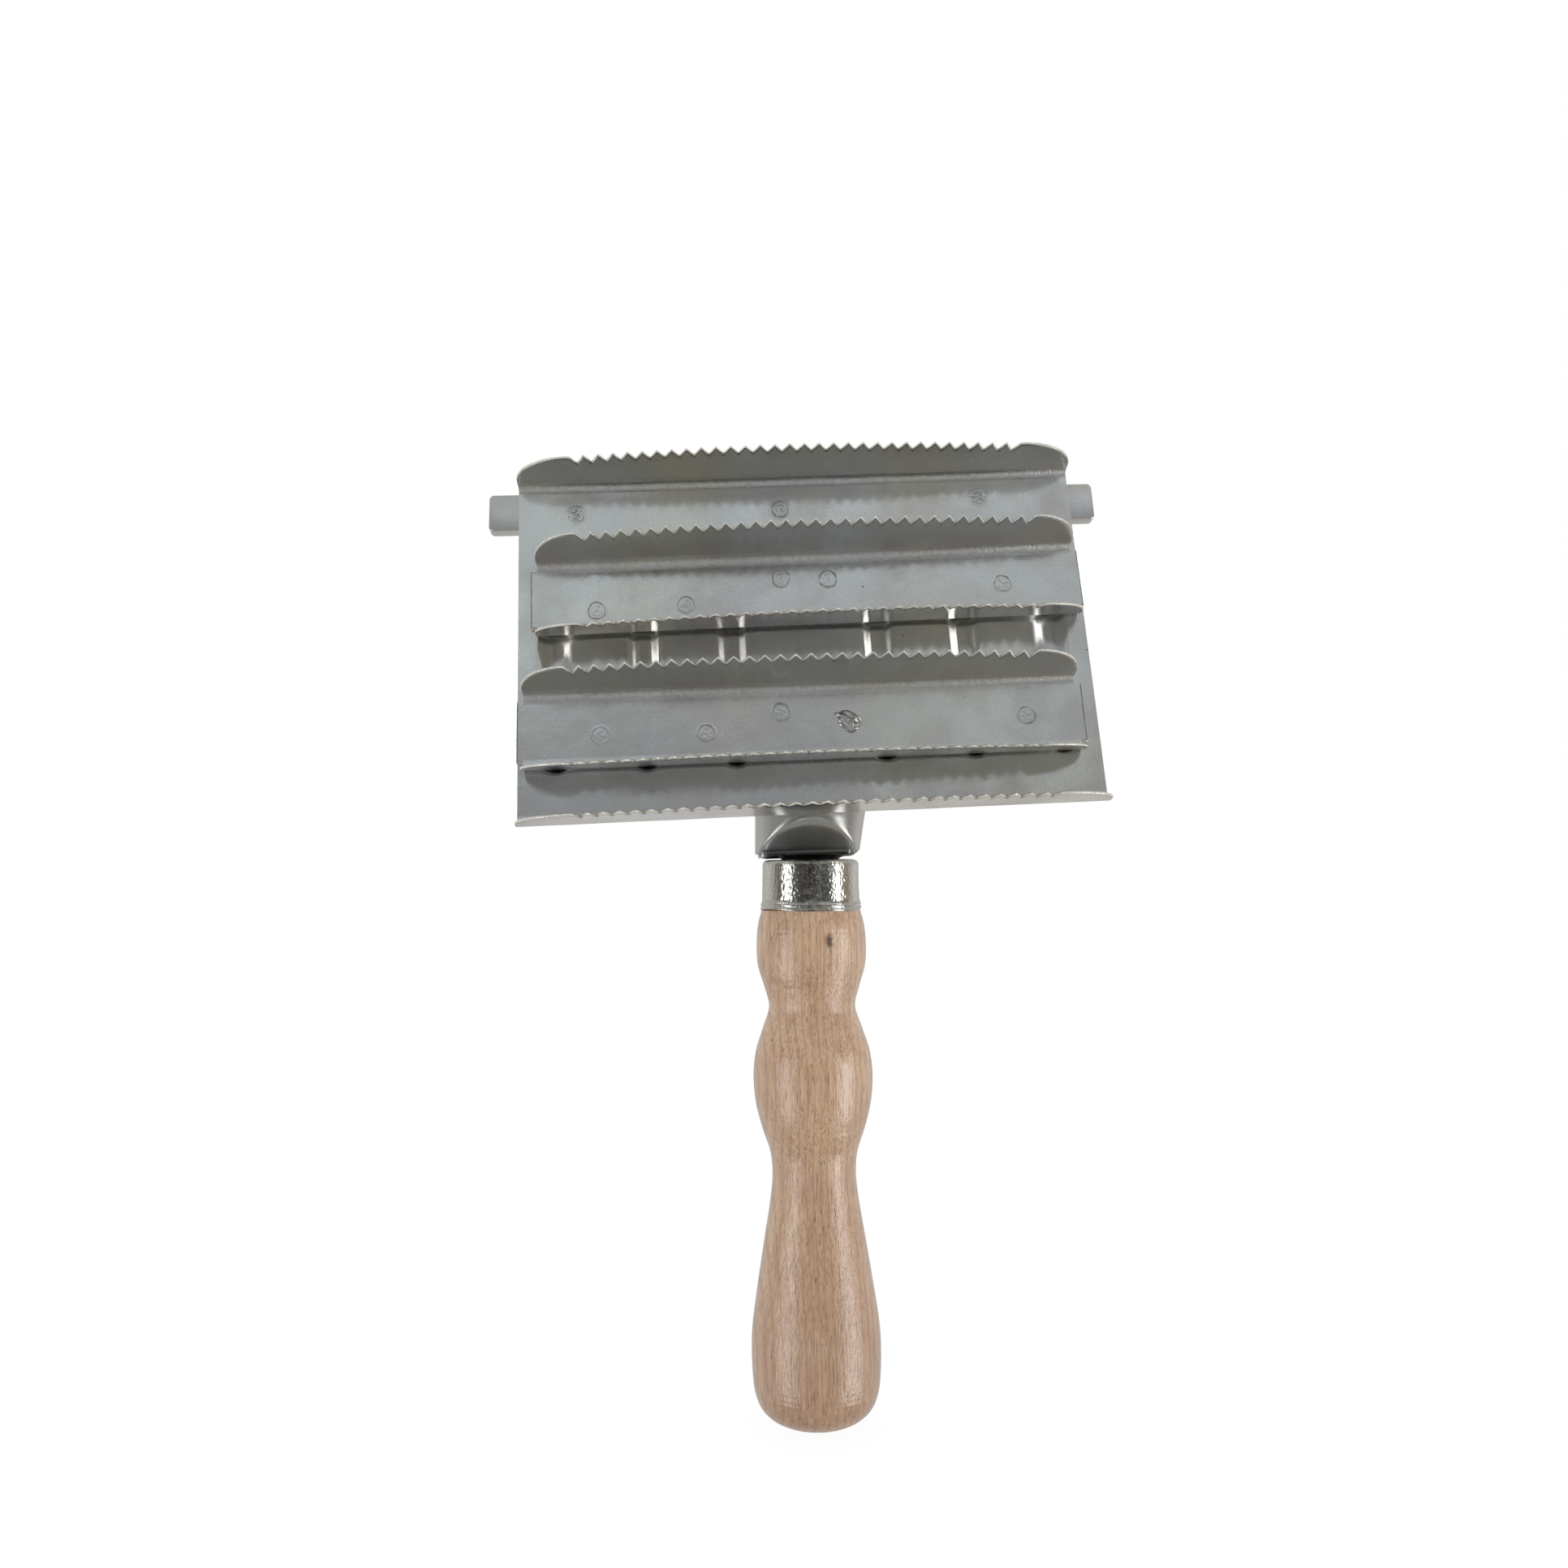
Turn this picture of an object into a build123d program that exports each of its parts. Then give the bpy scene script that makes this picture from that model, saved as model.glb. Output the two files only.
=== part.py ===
from build123d import *
import os
from math import cos, radians, sin, sqrt, tan

# Curry comb: a plated sheet-steel head with six toothed rows on a turned wooden handle.
#
# Frame, millimetres: +Z runs up the handle's axis toward the head, +X is to the right and the teeth
# point toward -Y. The origin is on the handle's axis, on the top face of the ferrule.
#
# The head is drawn in its own frame and placed once at the end: x across the comb, y up the plate,
# z out of the working side, with z = 0 on the plate's working face.

# ---- sheet stock ---------------------------------------------------------------------------------
SHEET = 0.7                 # thickness of the plate and of the two channels
BEND_INSIDE = 1.4           # inner radius of every folded edge
FLANGE_SPARE = 1.0          # flanges are folded this much too tall, then punched to height
BEND_CLEARANCE = 0.1        # the punch stays this far above the end of a bend

# ---- where the head sits on the handle -----------------------------------------------------------
HEAD_CENTRE = (-0.6, -1.0, 51.1)    # middle of the plate's working face
HEAD_LEAN = 11.2            # degrees the plate leans back from the line of the handle
HEAD_SKEW = 2.1             # degrees the plate is turned on the bracket, right side up

# ---- back plate ----------------------------------------------------------------------------------
PLATE_WIDTH = 132.0
PLATE_LENGTH = 84.0         # over the outside of the two folded rows

# ---- teeth ---------------------------------------------------------------------------------------
TIPS = 32                   # teeth in every row
PITCH = 3.4
TOOTH_DEPTH = 2.65
CROWN = 2.4                 # the tip line is higher than this at mid-row than at its ends
ROW_HALF = (TIPS - 1) * PITCH / 2
CORNER_START = 2.6          # height on the short edge where the rounded corner begins

# ---- tooth rows folded from the plate ------------------------------------------------------------
TOP_ROW_HEIGHT = 11.6       # end tooth above the plate, measured along the flange
TOP_ROW_LEAN = 3.9          # degrees the flange leans outward
BOTTOM_ROW_HEIGHT = 11.0
BOTTOM_ROW_LEAN = 3.4

# ---- tooth channels ------------------------------------------------------------------------------
CHANNEL_LENGTH = 129.0
CHANNEL_WIDTH = 18.3        # over the outside of the folds
CHANNEL_HEIGHT = 11.4       # end tooth above the channel floor, along the flange
CHANNEL_LEAN = 10.6
CHANNEL_END_STEP = 1.4      # the flanges stop this far short of the floor's ends
UPPER_CHANNEL_AT = (1.5, 12.2, 0.35)    # x, y of the middle and turn in degrees, as welded
LOWER_CHANNEL_AT = (-1.6, -20.4, -0.2)

# ---- pressed grooves in the plate ----------------------------------------------------------------
GROOVE_X = (17.0, 37.2, 57.4)       # each side of the middle
GROOVE_WIDTH = 7.2
GROOVE_DEPTH = 1.0
GROOVE_TOP = 24.0
GROOVE_BOTTOM = -31.0       # the grooves run out just below the lower channel

# ---- knocker bar ---------------------------------------------------------------------------------
KNOCKER_SIZE = (145.4, 9.4, 3.0)
KNOCKER_AT = (-0.5, 34.5, -0.75)    # x, y of the middle and turn in degrees
KNOCKER_CORNER = 1.0
KNOCKER_CHAMFER = 0.25

# ---- handle bracket ------------------------------------------------------------------------------
STRAP = 1.6                 # thickness of the bracket's steel
TONGUE_HALF = 11.5          # half width of the tongue
TONGUE_CORNER = 4.0         # radius of its two upper corners
TONGUE_TOP = 24.0           # heights on the tongue are measured along it from the head's centre
TONGUE_ROOT = -20.0         # here the flat tongue starts to curl into the half-round neck
ROOT_BULGE = 0.3            # the tongue is already this much rounded at its root
NECK_TOP = -41.5            # here the neck has its full half-round section
NECK_RADIUS = 13.0
NECK_SHIFT = 0.5            # its middle sits this far right of the handle's axis
NECK_END = -54.0            # the tapered neck is drawn to here, then cut by the lip
NECK_END_RADIUS = 11.3
NECK_END_SHIFT = -1.3       # the neck tapers on its right side only
NECK_DEPTH = 21.0           # the side walls reach this far behind the tongue's front face
LIP_BOTTOM = 0.8            # the lip hangs this far above the ferrule
LIP_BACK = 8.5
LIP_NOTCH_X = -0.4          # the lip is cut back under the relief over this width
LIP_NOTCH_WIDTH = 19.4
RELIEF_APEX = 7.8           # height at which the slanting relief leaves the front of the neck
RELIEF_ANGLE = 47.0         # degrees from level
BOSS_RADIUS = 6.6           # round foot of the bracket that stands on the ferrule
BOSS_FLARE = 8.2            # its radius where it spreads into the lip

# ---- ferrule, tang, handle -----------------------------------------------------------------------
FERRULE_WALL = 0.6
FERRULE_LENGTH = 11.3
FERRULE_SHOULDER = 1.2      # radius of the rounded upper edge
FERRULE_TOP_RADIUS = 10.95
FERRULE_LOW_RADIUS = 11.1   # where the lip starts to turn out
FERRULE_LIP_RADIUS = 11.5
LIP_START = 8.8             # depth below the ferrule's top
TANG_RADIUS = 2.5
TANG_TOP = 6.0              # the tang's domed end stands this high inside the neck
TANG_END = -48.0            # its point in the wood
TANG_POINT = 6.0            # length of the point
TANG_DOME = 1.0             # height of the domed end
TENON_GAP = 0.05            # the wood is driven into the ferrule with hardly any play
HANDLE_END = 123.3          # from the ferrule's top to the butt
HANDLE_TURNING = (          # radius and depth below the ferrule's top, down the turned profile
    (11.3, 11.3), (12.2, 15), (12.5, 19.5), (12.2, 24), (10.7, 29), (9.8, 33.2), (11.3, 38),
    (12.9, 43), (13.5, 48.5), (13.0, 54.5), (11.6, 60), (9.9, 65), (9.4, 69.5), (9.8, 75),
    (11.4, 85), (13.0, 95), (14.1, 103), (14.3, 108.5), (14.1, 113.5),
)
BUTT_TURNING = ((14.1, 113.5), (12.9, 119.0), (9.6, 122.2), (0, HANDLE_END))
BUTT_TANGENTS = ((-0.06, -1), (-1, 0))      # the turning runs on smoothly and ends square to the axis

# ---- welds ---------------------------------------------------------------------------------------
SPOT_RADIUS = 2.2
SPOT_HEIGHT = 0.15
SPOT_SLOPE = 0.15           # width of the slopes on both sides of the ring
SPOT_RING = 0.25            # width of the ring's flat top
SPOT_FLOOR = 0.06           # height of the floor inside the ring
KNOCKER_SPOTS = ((-52.5, 33.8), (-4.0, 33.5), (44.1, 35.2))
UPPER_SPOTS = ((-47.9, 8.8), (-27.3, 9.4), (-4.8, 15.1), (6.2, 14.6), (47.4, 12.0))
LOWER_SPOTS = ((-47.4, -21.5), (-23.7, -22.1), (-6.6, -17.9), (49.5, -20.9))
PLUG_WELD = (9.1, -20.7)
PLUG_RADIUS = 3.2
PLUG_HEIGHT = 0.9


# ---- cutting tools -------------------------------------------------------------------------------
WASTE_MARGIN = 5.0          # waste outlines reach this far past the sheet
LARGE = 100.0               # a block bigger than anything it cuts


# ---- frames --------------------------------------------------------------------------------------

def head_frame():
    """Frame of the head: z out of the working side, x across the comb."""
    lean = radians(HEAD_LEAN)
    skew = radians(HEAD_SKEW)
    across = (cos(skew), sin(skew) * sin(lean), sin(skew) * cos(lean))
    return Plane(origin=HEAD_CENTRE, x_dir=across, z_dir=(0, -cos(lean), sin(lean)))


def strap_frame():
    """Frame of the bracket's tongue: on the plate's back face, square to the handle, x = 0 on its axis."""
    lean = radians(HEAD_LEAN)
    origin = (0, HEAD_CENTRE[1] + SHEET * cos(lean), HEAD_CENTRE[2] - SHEET * sin(lean))
    return Plane(origin=origin, x_dir=(1, 0, 0), z_dir=(0, -cos(lean), sin(lean)))


def on_head(part):
    """Move a part drawn in the head's frame to its place on the comb."""
    return head_frame().location * part


# ---- folded toothed sheet ------------------------------------------------------------------------

def folded_strip(bottom_y, top_y, bottom_lean, top_lean, flange, length):
    """A strip with both long edges folded up. The y values are the inner corners of the folds."""
    low = radians(bottom_lean)
    high = radians(top_lean)
    inside = FilletPolyline(
        (bottom_y - flange * sin(low), flange * cos(low)),
        (bottom_y, 0),
        (top_y, 0),
        (top_y + flange * sin(high), flange * cos(high)),
        radius=BEND_INSIDE,
    )
    section = make_face(offset(inside, amount=SHEET, side=Side.RIGHT, closed=True))
    return extrude(Plane.YZ * section, amount=length / 2, both=True)


def tip_height(x, end_height):
    """Height of the crowned tip line at x."""
    return end_height + CROWN * (1 - (x / ROW_HALF) ** 2)


def tooth_line(end_height):
    """Tips and valleys of one row from left to right."""
    points = []
    for index in range(TIPS):
        x = index * PITCH - ROW_HALF
        points.append((x, tip_height(x, end_height)))
        if index < TIPS - 1:
            middle = x + PITCH / 2
            points.append((middle, tip_height(middle, end_height) - TOOTH_DEPTH))
    return points


def waste_outline(half_length, end_height, start):
    """What is punched away from a flange above the height start: everything outside the toothed outline."""
    reach = half_length - ROW_HALF
    rise = end_height - CORNER_START
    left = EllipticalCenterArc((-ROW_HALF, CORNER_START), reach, rise, start_angle=90, arc_size=90)
    right = EllipticalCenterArc((ROW_HALF, CORNER_START), reach, rise, start_angle=0, arc_size=90)
    teeth = Polyline(*tooth_line(end_height))
    far = PLATE_WIDTH / 2 + WASTE_MARGIN
    top = end_height + CROWN + WASTE_MARGIN
    frame = Polyline(
        (-half_length, CORNER_START), (-half_length, start), (-far, start), (-far, top),
        (far, top), (far, start), (half_length, start), (half_length, CORNER_START),
    )
    return make_face(Curve() + [left, right, teeth, frame])


def cut_teeth(strip, corner_y, side, lean, half_length, end_height):
    """Punch the toothed outline into one flange. side is +1 for the upper flange, -1 for the lower."""
    angle = radians(lean)
    flange = Plane(origin=(0, corner_y, 0), x_dir=(1, 0, 0), z_dir=(0, -cos(angle), side * sin(angle)))
    start = SHEET + BEND_INSIDE + BEND_CLEARANCE
    waste = extrude(flange * waste_outline(half_length, end_height, start), amount=4 * SHEET, both=True)
    return strip - waste


# ---- back plate ----------------------------------------------------------------------------------

def pressed_rod(x, radius, centre_z):
    """A round-ended rod lying along y: the shape of the tool that presses one groove."""
    length = GROOVE_TOP - GROOVE_BOTTOM - GROOVE_WIDTH
    middle = (GROOVE_TOP + GROOVE_BOTTOM) / 2
    rod = Rot(90, 0, 0) * Cylinder(radius, length)
    rod += Pos(0, length / 2, 0) * Sphere(radius)
    rod += Pos(0, -length / 2, 0) * Sphere(radius)
    return Pos(x, middle, centre_z) * rod


def press_groove(plate, x):
    """Push the sheet back along a round-bottomed groove, keeping its thickness."""
    inner = (GROOVE_WIDTH ** 2 / 4 + GROOVE_DEPTH ** 2) / (2 * GROOVE_DEPTH)
    centre_z = inner - GROOVE_DEPTH
    below = Pos(x, 0, -(LARGE + SHEET) / 2) * Box(LARGE, LARGE, LARGE)
    bulge = pressed_rod(x, inner + SHEET, centre_z) & below
    return plate + bulge - pressed_rod(x, inner, centre_z)


def make_back_plate():
    """Plate with rows 1 and 6 folded from its long edges and six pressed grooves between them."""
    corner = PLATE_LENGTH / 2 - SHEET
    flange = TOP_ROW_HEIGHT + CROWN + FLANGE_SPARE
    plate = folded_strip(-corner, corner, BOTTOM_ROW_LEAN, TOP_ROW_LEAN, flange, PLATE_WIDTH)
    plate = cut_teeth(plate, corner, 1, TOP_ROW_LEAN, PLATE_WIDTH / 2, TOP_ROW_HEIGHT)
    plate = cut_teeth(plate, -corner, -1, BOTTOM_ROW_LEAN, PLATE_WIDTH / 2, BOTTOM_ROW_HEIGHT)
    for x in GROOVE_X:
        plate = press_groove(plate, x)
        plate = press_groove(plate, -x)
    return plate


# ---- tooth channels ------------------------------------------------------------------------------

def make_channel():
    """U strip with a toothed row on each flange, floor resting on z = 0, centred on the origin."""
    corner = CHANNEL_WIDTH / 2 - SHEET
    flange = CHANNEL_HEIGHT + CROWN + FLANGE_SPARE
    strip = folded_strip(-corner, corner, CHANNEL_LEAN, CHANNEL_LEAN, flange, CHANNEL_LENGTH)
    half = CHANNEL_LENGTH / 2 - CHANNEL_END_STEP
    strip = cut_teeth(strip, corner, 1, CHANNEL_LEAN, half, CHANNEL_HEIGHT)
    strip = cut_teeth(strip, -corner, -1, CHANNEL_LEAN, half, CHANNEL_HEIGHT)
    return Pos(0, 0, SHEET) * strip


def place_on_plate(part, at):
    """Set a part on the plate at x, y with a small turn in the plate's plane."""
    x, y, turn = at
    return Pos(x, y, 0) * Rot(0, 0, turn) * part


# ---- knocker bar ---------------------------------------------------------------------------------

def make_knocker_bar():
    """Flat bar on the back of the plate, in the head's frame."""
    length, width, thickness = KNOCKER_SIZE
    bar = Box(length, width, thickness)
    bar = fillet(bar.edges().filter_by(Axis.Z), KNOCKER_CORNER)
    ends = bar.faces().filter_by(Axis.Z)
    bar = chamfer(ends.edges(), KNOCKER_CHAMFER)
    return place_on_plate(Pos(0, 0, -SHEET - thickness / 2) * bar, KNOCKER_AT)


# ---- handle bracket ------------------------------------------------------------------------------

def bracket_section(height, half_width, shift, bulge, wall):
    """Cross-section of the bracket: a bulging front with straight sides, at a height on the tongue.

    The wall argument shrinks the section evenly; the back stays open below it."""
    reach = half_width - wall
    shoulder = -wall - bulge * reach / half_width
    back = -NECK_DEPTH - wall
    front = ThreePointArc((shift - reach, shoulder), (shift, -wall), (shift + reach, shoulder))
    sides = Polyline(
        (shift - reach, shoulder), (shift - reach, back), (shift + reach, back), (shift + reach, shoulder),
    )
    plane = Plane(origin=(0, height, 0), x_dir=(1, 0, 0), z_dir=(0, -1, 0))
    return plane * make_face(Curve() + [front, sides])


def bracket_block(wall):
    """The curl and the tapered neck as one solid, shrunk by the wall, in the tongue's frame."""
    root = bracket_section(TONGUE_ROOT, TONGUE_HALF, 0, ROOT_BULGE, wall)
    top = bracket_section(NECK_TOP, NECK_RADIUS, NECK_SHIFT, NECK_RADIUS, wall)
    end = bracket_section(NECK_END, NECK_END_RADIUS, NECK_END_SHIFT, NECK_END_RADIUS, wall)
    return loft([root, top], ruled=True) + loft([top, end], ruled=True)


def side_profile():
    """Side view of curl and neck: the side walls grow from the tongue down to the lip."""
    outline = Polyline(
        (TONGUE_ROOT, STRAP), (TONGUE_ROOT, -STRAP), (NECK_TOP, -NECK_RADIUS), (NECK_END, -NECK_DEPTH),
        (NECK_END, STRAP), close=True,
    )
    return extrude(Plane.YZ * make_face(outline), amount=2 * NECK_RADIUS, both=True)


def above(level):
    """Everything above a level, in the comb's frame."""
    return Pos(0, 0, level + LARGE / 2) * Box(LARGE, LARGE, LARGE)


def neck_front(level):
    """y of the front of the neck at a level of the comb's frame."""
    lean = radians(HEAD_LEAN)
    return HEAD_CENTRE[1] + SHEET / cos(lean) - (HEAD_CENTRE[2] - level) * tan(lean)


def relief_waste(inward):
    """What the slanting relief takes away under the front of the neck, its face moved inward."""
    angle = radians(RELIEF_ANGLE)
    front = neck_front(RELIEF_APEX)
    face = Plane(
        origin=(0, front + inward * sin(angle), RELIEF_APEX + inward * cos(angle)),
        x_dir=(1, 0, 0),
        z_dir=(0, sin(angle), cos(angle)),
    )
    return face.location * (Pos(0, 0, -LARGE / 2) * Box(LARGE, LARGE, LARGE))


def make_bracket():
    """Tongue, half-round neck with relief, lip and boss, as one pressed piece."""
    strap = strap_frame().location

    length = TONGUE_TOP - TONGUE_ROOT
    tongue = Pos(0, TONGUE_ROOT + length / 2, -STRAP / 2) * Box(2 * TONGUE_HALF, length, STRAP)
    tongue = fillet(tongue.edges().filter_by(Axis.Z).group_by(Axis.Y)[-1], TONGUE_CORNER)

    lip_top = LIP_BOTTOM + STRAP
    outer = strap * (bracket_block(0) & side_profile())
    outer = (outer & above(LIP_BOTTOM)) - (relief_waste(0) & above(lip_top))
    inner = (strap * bracket_block(STRAP) & above(lip_top)) - relief_waste(STRAP)
    neck = outer - inner
    neck -= Pos(0, LIP_BACK + LARGE / 2, 0) * Box(LARGE, LARGE, LARGE)
    lip_front = neck_front(RELIEF_APEX) + (RELIEF_APEX - lip_top) / tan(radians(RELIEF_ANGLE))
    notch = Box(LIP_NOTCH_WIDTH, LARGE, lip_top)
    neck -= Pos(LIP_NOTCH_X, lip_front - LARGE / 2, lip_top / 2) * notch

    boss = Pos(0, 0, lip_top / 2) * Cylinder(BOSS_RADIUS, lip_top)
    boss += Pos(0, 0, LIP_BOTTOM / 2) * Cone(BOSS_RADIUS, BOSS_FLARE, LIP_BOTTOM)
    bore = Pos(0, 0, lip_top / 2) * Cylinder(TANG_RADIUS, 2 * lip_top)
    return strap * tongue + (neck + boss) - bore


# ---- ferrule, tang and handle --------------------------------------------------------------------

def make_ferrule():
    """Drawn cap with a round shoulder, a slight flare and a turned-out lip at its mouth."""
    hole = (TANG_RADIUS, 0)
    outside = FilletPolyline(
        hole, (FERRULE_TOP_RADIUS, 0), (FERRULE_LOW_RADIUS, -LIP_START), radius=FERRULE_SHOULDER,
    )
    lip = Polyline(
        (FERRULE_LOW_RADIUS, -LIP_START), (FERRULE_LIP_RADIUS, -FERRULE_LENGTH),
        (FERRULE_LIP_RADIUS - FERRULE_WALL, -FERRULE_LENGTH),
    )
    inside = Polyline(
        (FERRULE_LIP_RADIUS - FERRULE_WALL, -FERRULE_LENGTH),
        (FERRULE_LOW_RADIUS - FERRULE_WALL, -LIP_START),
        (FERRULE_TOP_RADIUS - FERRULE_WALL, -FERRULE_WALL),
        (TANG_RADIUS, -FERRULE_WALL),
        hole,
    )
    return revolve(Plane.XZ * make_face(Curve() + [outside, lip, inside]), Axis.Z)


def dome_arc(radius, height, level):
    """Profile of a shallow dome from its rim, at the given level, to its middle on the axis."""
    ball = (radius ** 2 + height ** 2) / (2 * height)
    rise = sqrt(ball ** 2 - (radius / 2) ** 2) - (ball - height)
    return ThreePointArc((radius, level), (radius / 2, level + rise), (0, level + height))


def make_tang():
    """Round spike from inside the neck, through boss and ferrule, down into the wood."""
    rim = TANG_TOP - TANG_DOME
    spike = Polyline((0, TANG_TOP), (0, TANG_END), (TANG_RADIUS, TANG_END + TANG_POINT), (TANG_RADIUS, rim))
    dome = dome_arc(TANG_RADIUS, TANG_DOME, rim)
    return revolve(Plane.XZ * make_face(Curve() + [spike, dome]), Axis.Z)


def make_handle():
    """Turned wood: a tenon inside the ferrule, three swellings and a blunt round butt."""
    swellings = Spline(*[(radius, -depth) for radius, depth in HANDLE_TURNING])
    butt = Spline(*[(radius, -depth) for radius, depth in BUTT_TURNING], tangents=BUTT_TANGENTS)
    gap = FERRULE_WALL + TENON_GAP
    tenon = Polyline(
        (HANDLE_TURNING[0][0], -FERRULE_LENGTH), (FERRULE_LIP_RADIUS - gap, -FERRULE_LENGTH),
        (FERRULE_LOW_RADIUS - gap, -LIP_START), (FERRULE_TOP_RADIUS - gap, -FERRULE_WALL),
        (0, -FERRULE_WALL), (0, -HANDLE_END),
    )
    wood = revolve(Plane.XZ * make_face(Curve() + [swellings, butt, tenon]), Axis.Z)
    return wood - make_tang()


# ---- welds ---------------------------------------------------------------------------------------

def spot_weld():
    """Electrode mark of a resistance weld: a low raised ring around a flat floor."""
    ring_outside = SPOT_RADIUS - SPOT_SLOPE
    ring_inside = ring_outside - SPOT_RING
    profile = Polyline(
        (0, 0), (SPOT_RADIUS, 0), (ring_outside, SPOT_HEIGHT), (ring_inside, SPOT_HEIGHT),
        (ring_inside - SPOT_SLOPE, SPOT_FLOOR), (0, SPOT_FLOOR), close=True,
    )
    return revolve(Plane.XZ * make_face(profile), Axis.Z)


def weld_group(spots, level):
    """Spot welds of one seam as separate solids on a face at the given level."""
    return Compound(children=[Pos(x, y, level) * spot_weld() for x, y in spots])


def make_plug_weld():
    """Raised weld bead that ties the lower channel and the plate to the bracket's tongue."""
    foot = Polyline((0, PLUG_HEIGHT), (0, 0), (PLUG_RADIUS, 0))
    dome = dome_arc(PLUG_RADIUS, PLUG_HEIGHT, 0)
    bead = revolve(Plane.XZ * make_face(Curve() + [foot, dome]), Axis.Z)
    return Pos(PLUG_WELD[0], PLUG_WELD[1], SHEET) * bead


# ---- assembly ------------------------------------------------------------------------------------

channel = make_channel()
nodes = {
    "back_plate": on_head(make_back_plate()),
    "upper_tooth_channel": on_head(place_on_plate(channel, UPPER_CHANNEL_AT)),
    "lower_tooth_channel": on_head(place_on_plate(channel, LOWER_CHANNEL_AT)),
    "knocker_bar": on_head(make_knocker_bar()),
    "knocker_spot_welds": on_head(weld_group(KNOCKER_SPOTS, 0)),
    "upper_channel_spot_welds": on_head(weld_group(UPPER_SPOTS, SHEET)),
    "lower_channel_spot_welds": on_head(weld_group(LOWER_SPOTS, SHEET)),
    "plug_weld": on_head(make_plug_weld()),
    "handle_bracket": make_bracket(),
    "handle_tang": make_tang(),
    "ferrule": make_ferrule(),
    "wood_handle": make_handle(),
}

os.makedirs("parts", exist_ok=True)
for name, shape in nodes.items():
    export_step(shape, f"parts/{name}.step")
    solids = shape.solids()
    volume = sum(solid.volume for solid in solids)
    print(f"{name}: {len(solids)} solid(s), {volume:.1f} mm3")
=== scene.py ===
from math import cos, pi, radians, sin, tan

import bmesh
import bpy
import numpy as np
from mathutils import Matrix, Vector


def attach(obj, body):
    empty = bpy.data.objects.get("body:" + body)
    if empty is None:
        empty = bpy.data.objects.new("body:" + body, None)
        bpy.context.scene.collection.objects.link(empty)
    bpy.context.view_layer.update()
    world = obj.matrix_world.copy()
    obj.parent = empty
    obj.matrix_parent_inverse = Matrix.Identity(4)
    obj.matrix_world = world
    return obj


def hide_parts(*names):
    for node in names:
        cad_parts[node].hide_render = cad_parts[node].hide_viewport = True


# Looks of the curry comb. All shapes are worked out in millimetres and turned into metres when a mesh
# is made. Plate, channels, welds and knocker bar are drawn in the head's frame: x across the comb, y up
# the plate, z out of the working side. The bracket is drawn in the frame of its tongue. Ferrule and
# handle are drawn in the comb's own frame, with z = 0 on top of the ferrule and z up. Node trees work
# in metres.

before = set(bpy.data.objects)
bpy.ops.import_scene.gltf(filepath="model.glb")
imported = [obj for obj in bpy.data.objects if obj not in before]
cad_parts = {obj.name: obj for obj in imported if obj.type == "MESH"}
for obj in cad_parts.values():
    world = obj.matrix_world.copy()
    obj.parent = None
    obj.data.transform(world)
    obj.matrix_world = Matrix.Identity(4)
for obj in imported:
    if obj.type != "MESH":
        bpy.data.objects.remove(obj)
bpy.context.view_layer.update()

# ---- sizes, the CAD model's or close to them -----------------------------------------------------

SHEET = 0.7
BEND_INSIDE = 1.5
HEAD_CENTRE = np.array((-0.6, -1.0, 51.1))      # middle of the plate's working face
HEAD_LEAN = radians(11.2)       # the working side looks up by this much
HEAD_SKEW = radians(2.1)        # the plate's right end stands higher by this much

TIPS = 32
PITCH = 3.4
ROW_HALF = (TIPS - 1) * PITCH / 2
TOOTH_DEPTH = 2.65
CROWN = 2.4                     # rows are this much higher in the middle than at their ends
CORNER_START = 2.6              # the round end of a row starts at this height

PLATE_HALF = 66.0
PLATE_CORNER = 42.0 - SHEET     # y of the corner between floor and flange
TOP_ROW = (11.6, 3.9)           # height at the row's ends, lean in degrees
BOTTOM_ROW = (11.0, 3.6)
CHANNEL_HALF = 64.5
CHANNEL_FLANGE_HALF = 63.1
CHANNEL_CORNER = 9.15 - SHEET
CHANNEL_ROW = (11.4, 11.3)
CHANNEL_BOW = 0.4               # the flanges close in by this much at mid-length
UPPER_CHANNEL_AT = (1.5, 12.2, 0.35)    # x and y on the plate, turn in degrees
LOWER_CHANNEL_AT = (-1.6, -20.4, -0.2)

GROOVE_X = (17.0, 37.2, 57.4)   # to the right of the middle, and the same to the left
GROOVE_ENDS = (-30.7, 24.0)
GROOVE_FLOOR = 1.1              # half width of the groove's flat floor
GROOVE_WALL = 2.7               # width of each sloping wall
GROOVE_DEPTH = 0.88
GROOVE_DRAW = (0.16, 4.5, 9.0)  # the sheet sinks toward the groove: depth, reach beside and past it
DRAW_FADE = (-40.0, 6.0)        # the sinking starts at this y and is full this much farther up

KNOCKER_SIZE = (145.4, 9.4, 3.0)
KNOCKER_AT = (-0.5, 34.5, -0.75)
KNOCKER_CORNERS = (1.1, 0.28)   # radius of the corners seen from the front, and of the edges
KNOCKER_SPOTS = ((-52.5, 33.8), (-4.0, 33.5), (44.1, 35.2))
UPPER_SPOTS = ((-47.9, 8.8), (-27.3, 9.4), (-4.8, 15.1), (6.2, 14.6), (47.4, 12.0))
LOWER_SPOTS = ((-47.4, -21.5), (-23.7, -22.1), (-6.6, -17.9), (49.5, -20.9))
KNOCKER_MARKS = ((0.35, 2.6), (0.9, 1.2), (0.2, 3.2))   # how strong ring and scrawl of each weld are
UPPER_MARKS = ((1.2, 0.8), (0.8, 0.9), (0.7, 0.5), (1.3, 0.5), (0.9, 1.2))
LOWER_MARKS = ((0.25, 0.4), (0.9, 0.8), (0.7, 0.8), (1.0, 0.6))
PLUG_WELD = (9.1, -20.7)

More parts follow.
